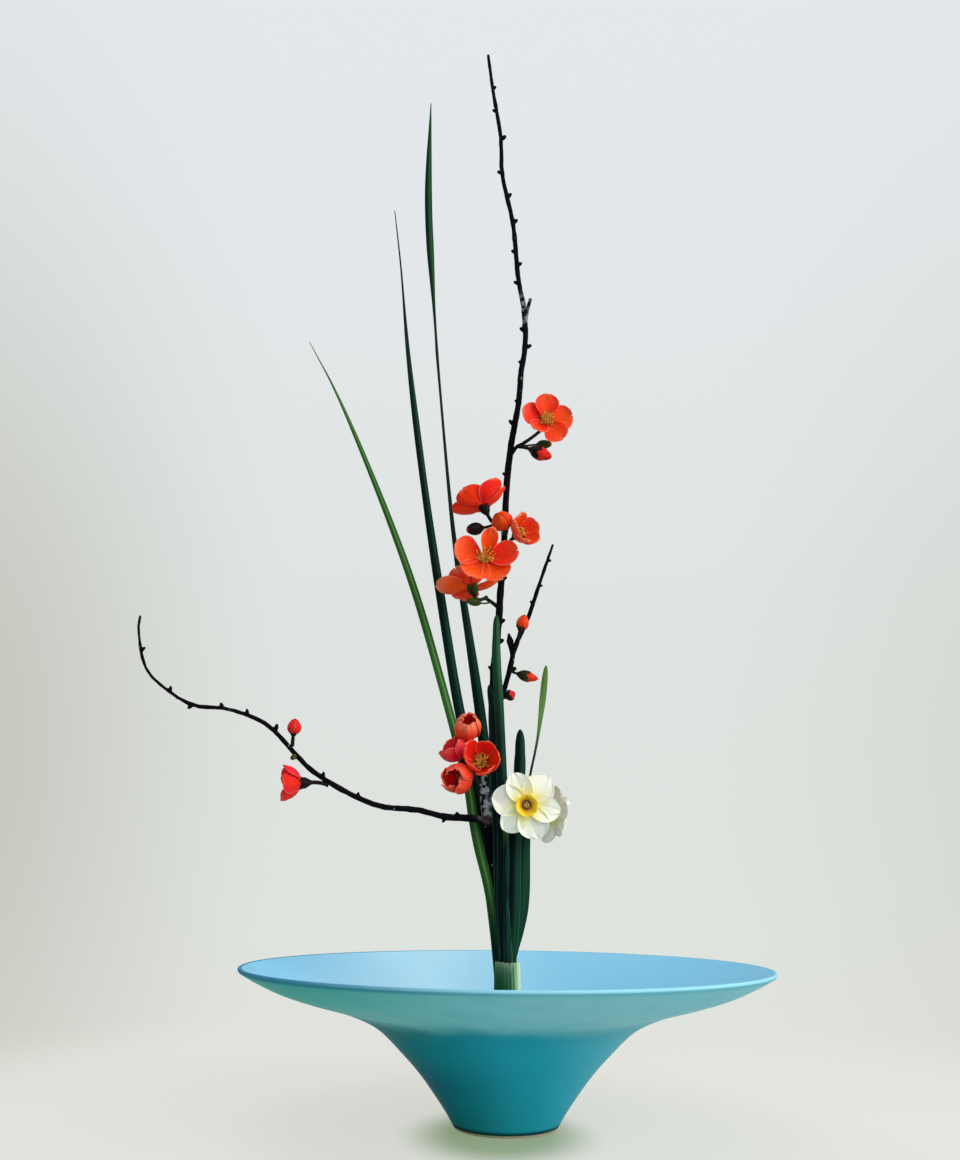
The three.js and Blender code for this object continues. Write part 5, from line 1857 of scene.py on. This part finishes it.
class IKEBANA_OT_sheath(bpy.types.Operator):
    """Build the leaf base round the narcissus"""

    bl_idname = "ikebana.sheath"
    bl_label = "Leaf sheath"

    def execute(self, context):
        make_sheath(context.scene.ikebana.sheath)
        return {"FINISHED"}


class IKEBANA_OT_stalks(bpy.types.Operator):
    """Build the narcissus stalks and their bract"""

    bl_idname = "ikebana.stalks"
    bl_label = "Narcissus stalks"

    def execute(self, context):
        settings = context.scene.ikebana
        make_stalks(settings.leaf, settings.narcissus)
        return {"FINISHED"}


class IKEBANA_OT_narcissus_flowers(bpy.types.Operator):
    """Build the two narcissus flowers"""

    bl_idname = "ikebana.narcissus_flowers"
    bl_label = "Narcissus flowers"

    def execute(self, context):
        for side, look in NARCISSUS_FLOWERS.items():
            make_narcissus(context.scene.ikebana.narcissus, side, *look)
        return {"FINISHED"}


class IKEBANA_OT_quince_flowers(bpy.types.Operator):
    """Build the open quince flowers"""

    bl_idname = "ikebana.quince_flowers"
    bl_label = "Quince flowers"

    def execute(self, context):
        make_flowers(context.scene.ikebana.quince)
        return {"FINISHED"}


class IKEBANA_OT_quince_buds(bpy.types.Operator):
    """Build the closed quince buds"""

    bl_idname = "ikebana.quince_buds"
    bl_label = "Quince buds"

    def execute(self, context):
        make_buds(context.scene.ikebana.quince)
        return {"FINISHED"}


class IKEBANA_OT_studio(bpy.types.Operator):
    """Build the floor, the background, the lights and the camera"""

    bl_idname = "ikebana.studio"
    bl_label = "Studio"

    def execute(self, context):
        make_studio(context.scene.ikebana.studio)
        return {"FINISHED"}


OPERATORS = (
    IKEBANA_OT_bowl, IKEBANA_OT_pin_holder, IKEBANA_OT_branches, IKEBANA_OT_sword_leaves,
    IKEBANA_OT_narcissus_leaves, IKEBANA_OT_sheath, IKEBANA_OT_stalks, IKEBANA_OT_narcissus_flowers,
    IKEBANA_OT_quince_flowers, IKEBANA_OT_quince_buds, IKEBANA_OT_studio,
)


class IKEBANA_PT_panel(bpy.types.Panel):
    """Buttons that build the arrangement"""

    bl_label = "Ikebana arrangement"
    bl_idname = "IKEBANA_PT_panel"
    bl_space_type = "VIEW_3D"
    bl_region_type = "UI"
    bl_category = "Ikebana"

    def draw(self, context):
        for operator in OPERATORS:
            self.layout.operator(operator.bl_idname)


CLASSES = (
    BowlSettings, HolderSettings, BarkSettings, LeafSettings, SheathSettings, NarcissusSettings,
    QuinceSettings, StudioSettings, IkebanaSettings, *OPERATORS, IKEBANA_PT_panel,
)


def register():
    """Adds the operators, the panel and the settings to Blender."""
    for kind in CLASSES:
        bpy.utils.register_class(kind)
    bpy.types.Scene.ikebana = PointerProperty(type=IkebanaSettings)


def unregister():
    """Removes them again."""
    del bpy.types.Scene.ikebana
    for kind in reversed(CLASSES):
        bpy.utils.unregister_class(kind)


def main():
    """Builds the arrangement."""
    register()
    bpy.ops.ikebana.bowl()
    bpy.ops.ikebana.pin_holder()
    bpy.ops.ikebana.branches()
    bpy.ops.ikebana.sword_leaves()
    bpy.ops.ikebana.narcissus_leaves()
    bpy.ops.ikebana.sheath()
    bpy.ops.ikebana.stalks()
    bpy.ops.ikebana.narcissus_flowers()
    bpy.ops.ikebana.quince_flowers()
    bpy.ops.ikebana.quince_buds()
    bpy.ops.ikebana.studio()


if __name__ == "__main__":
    main()
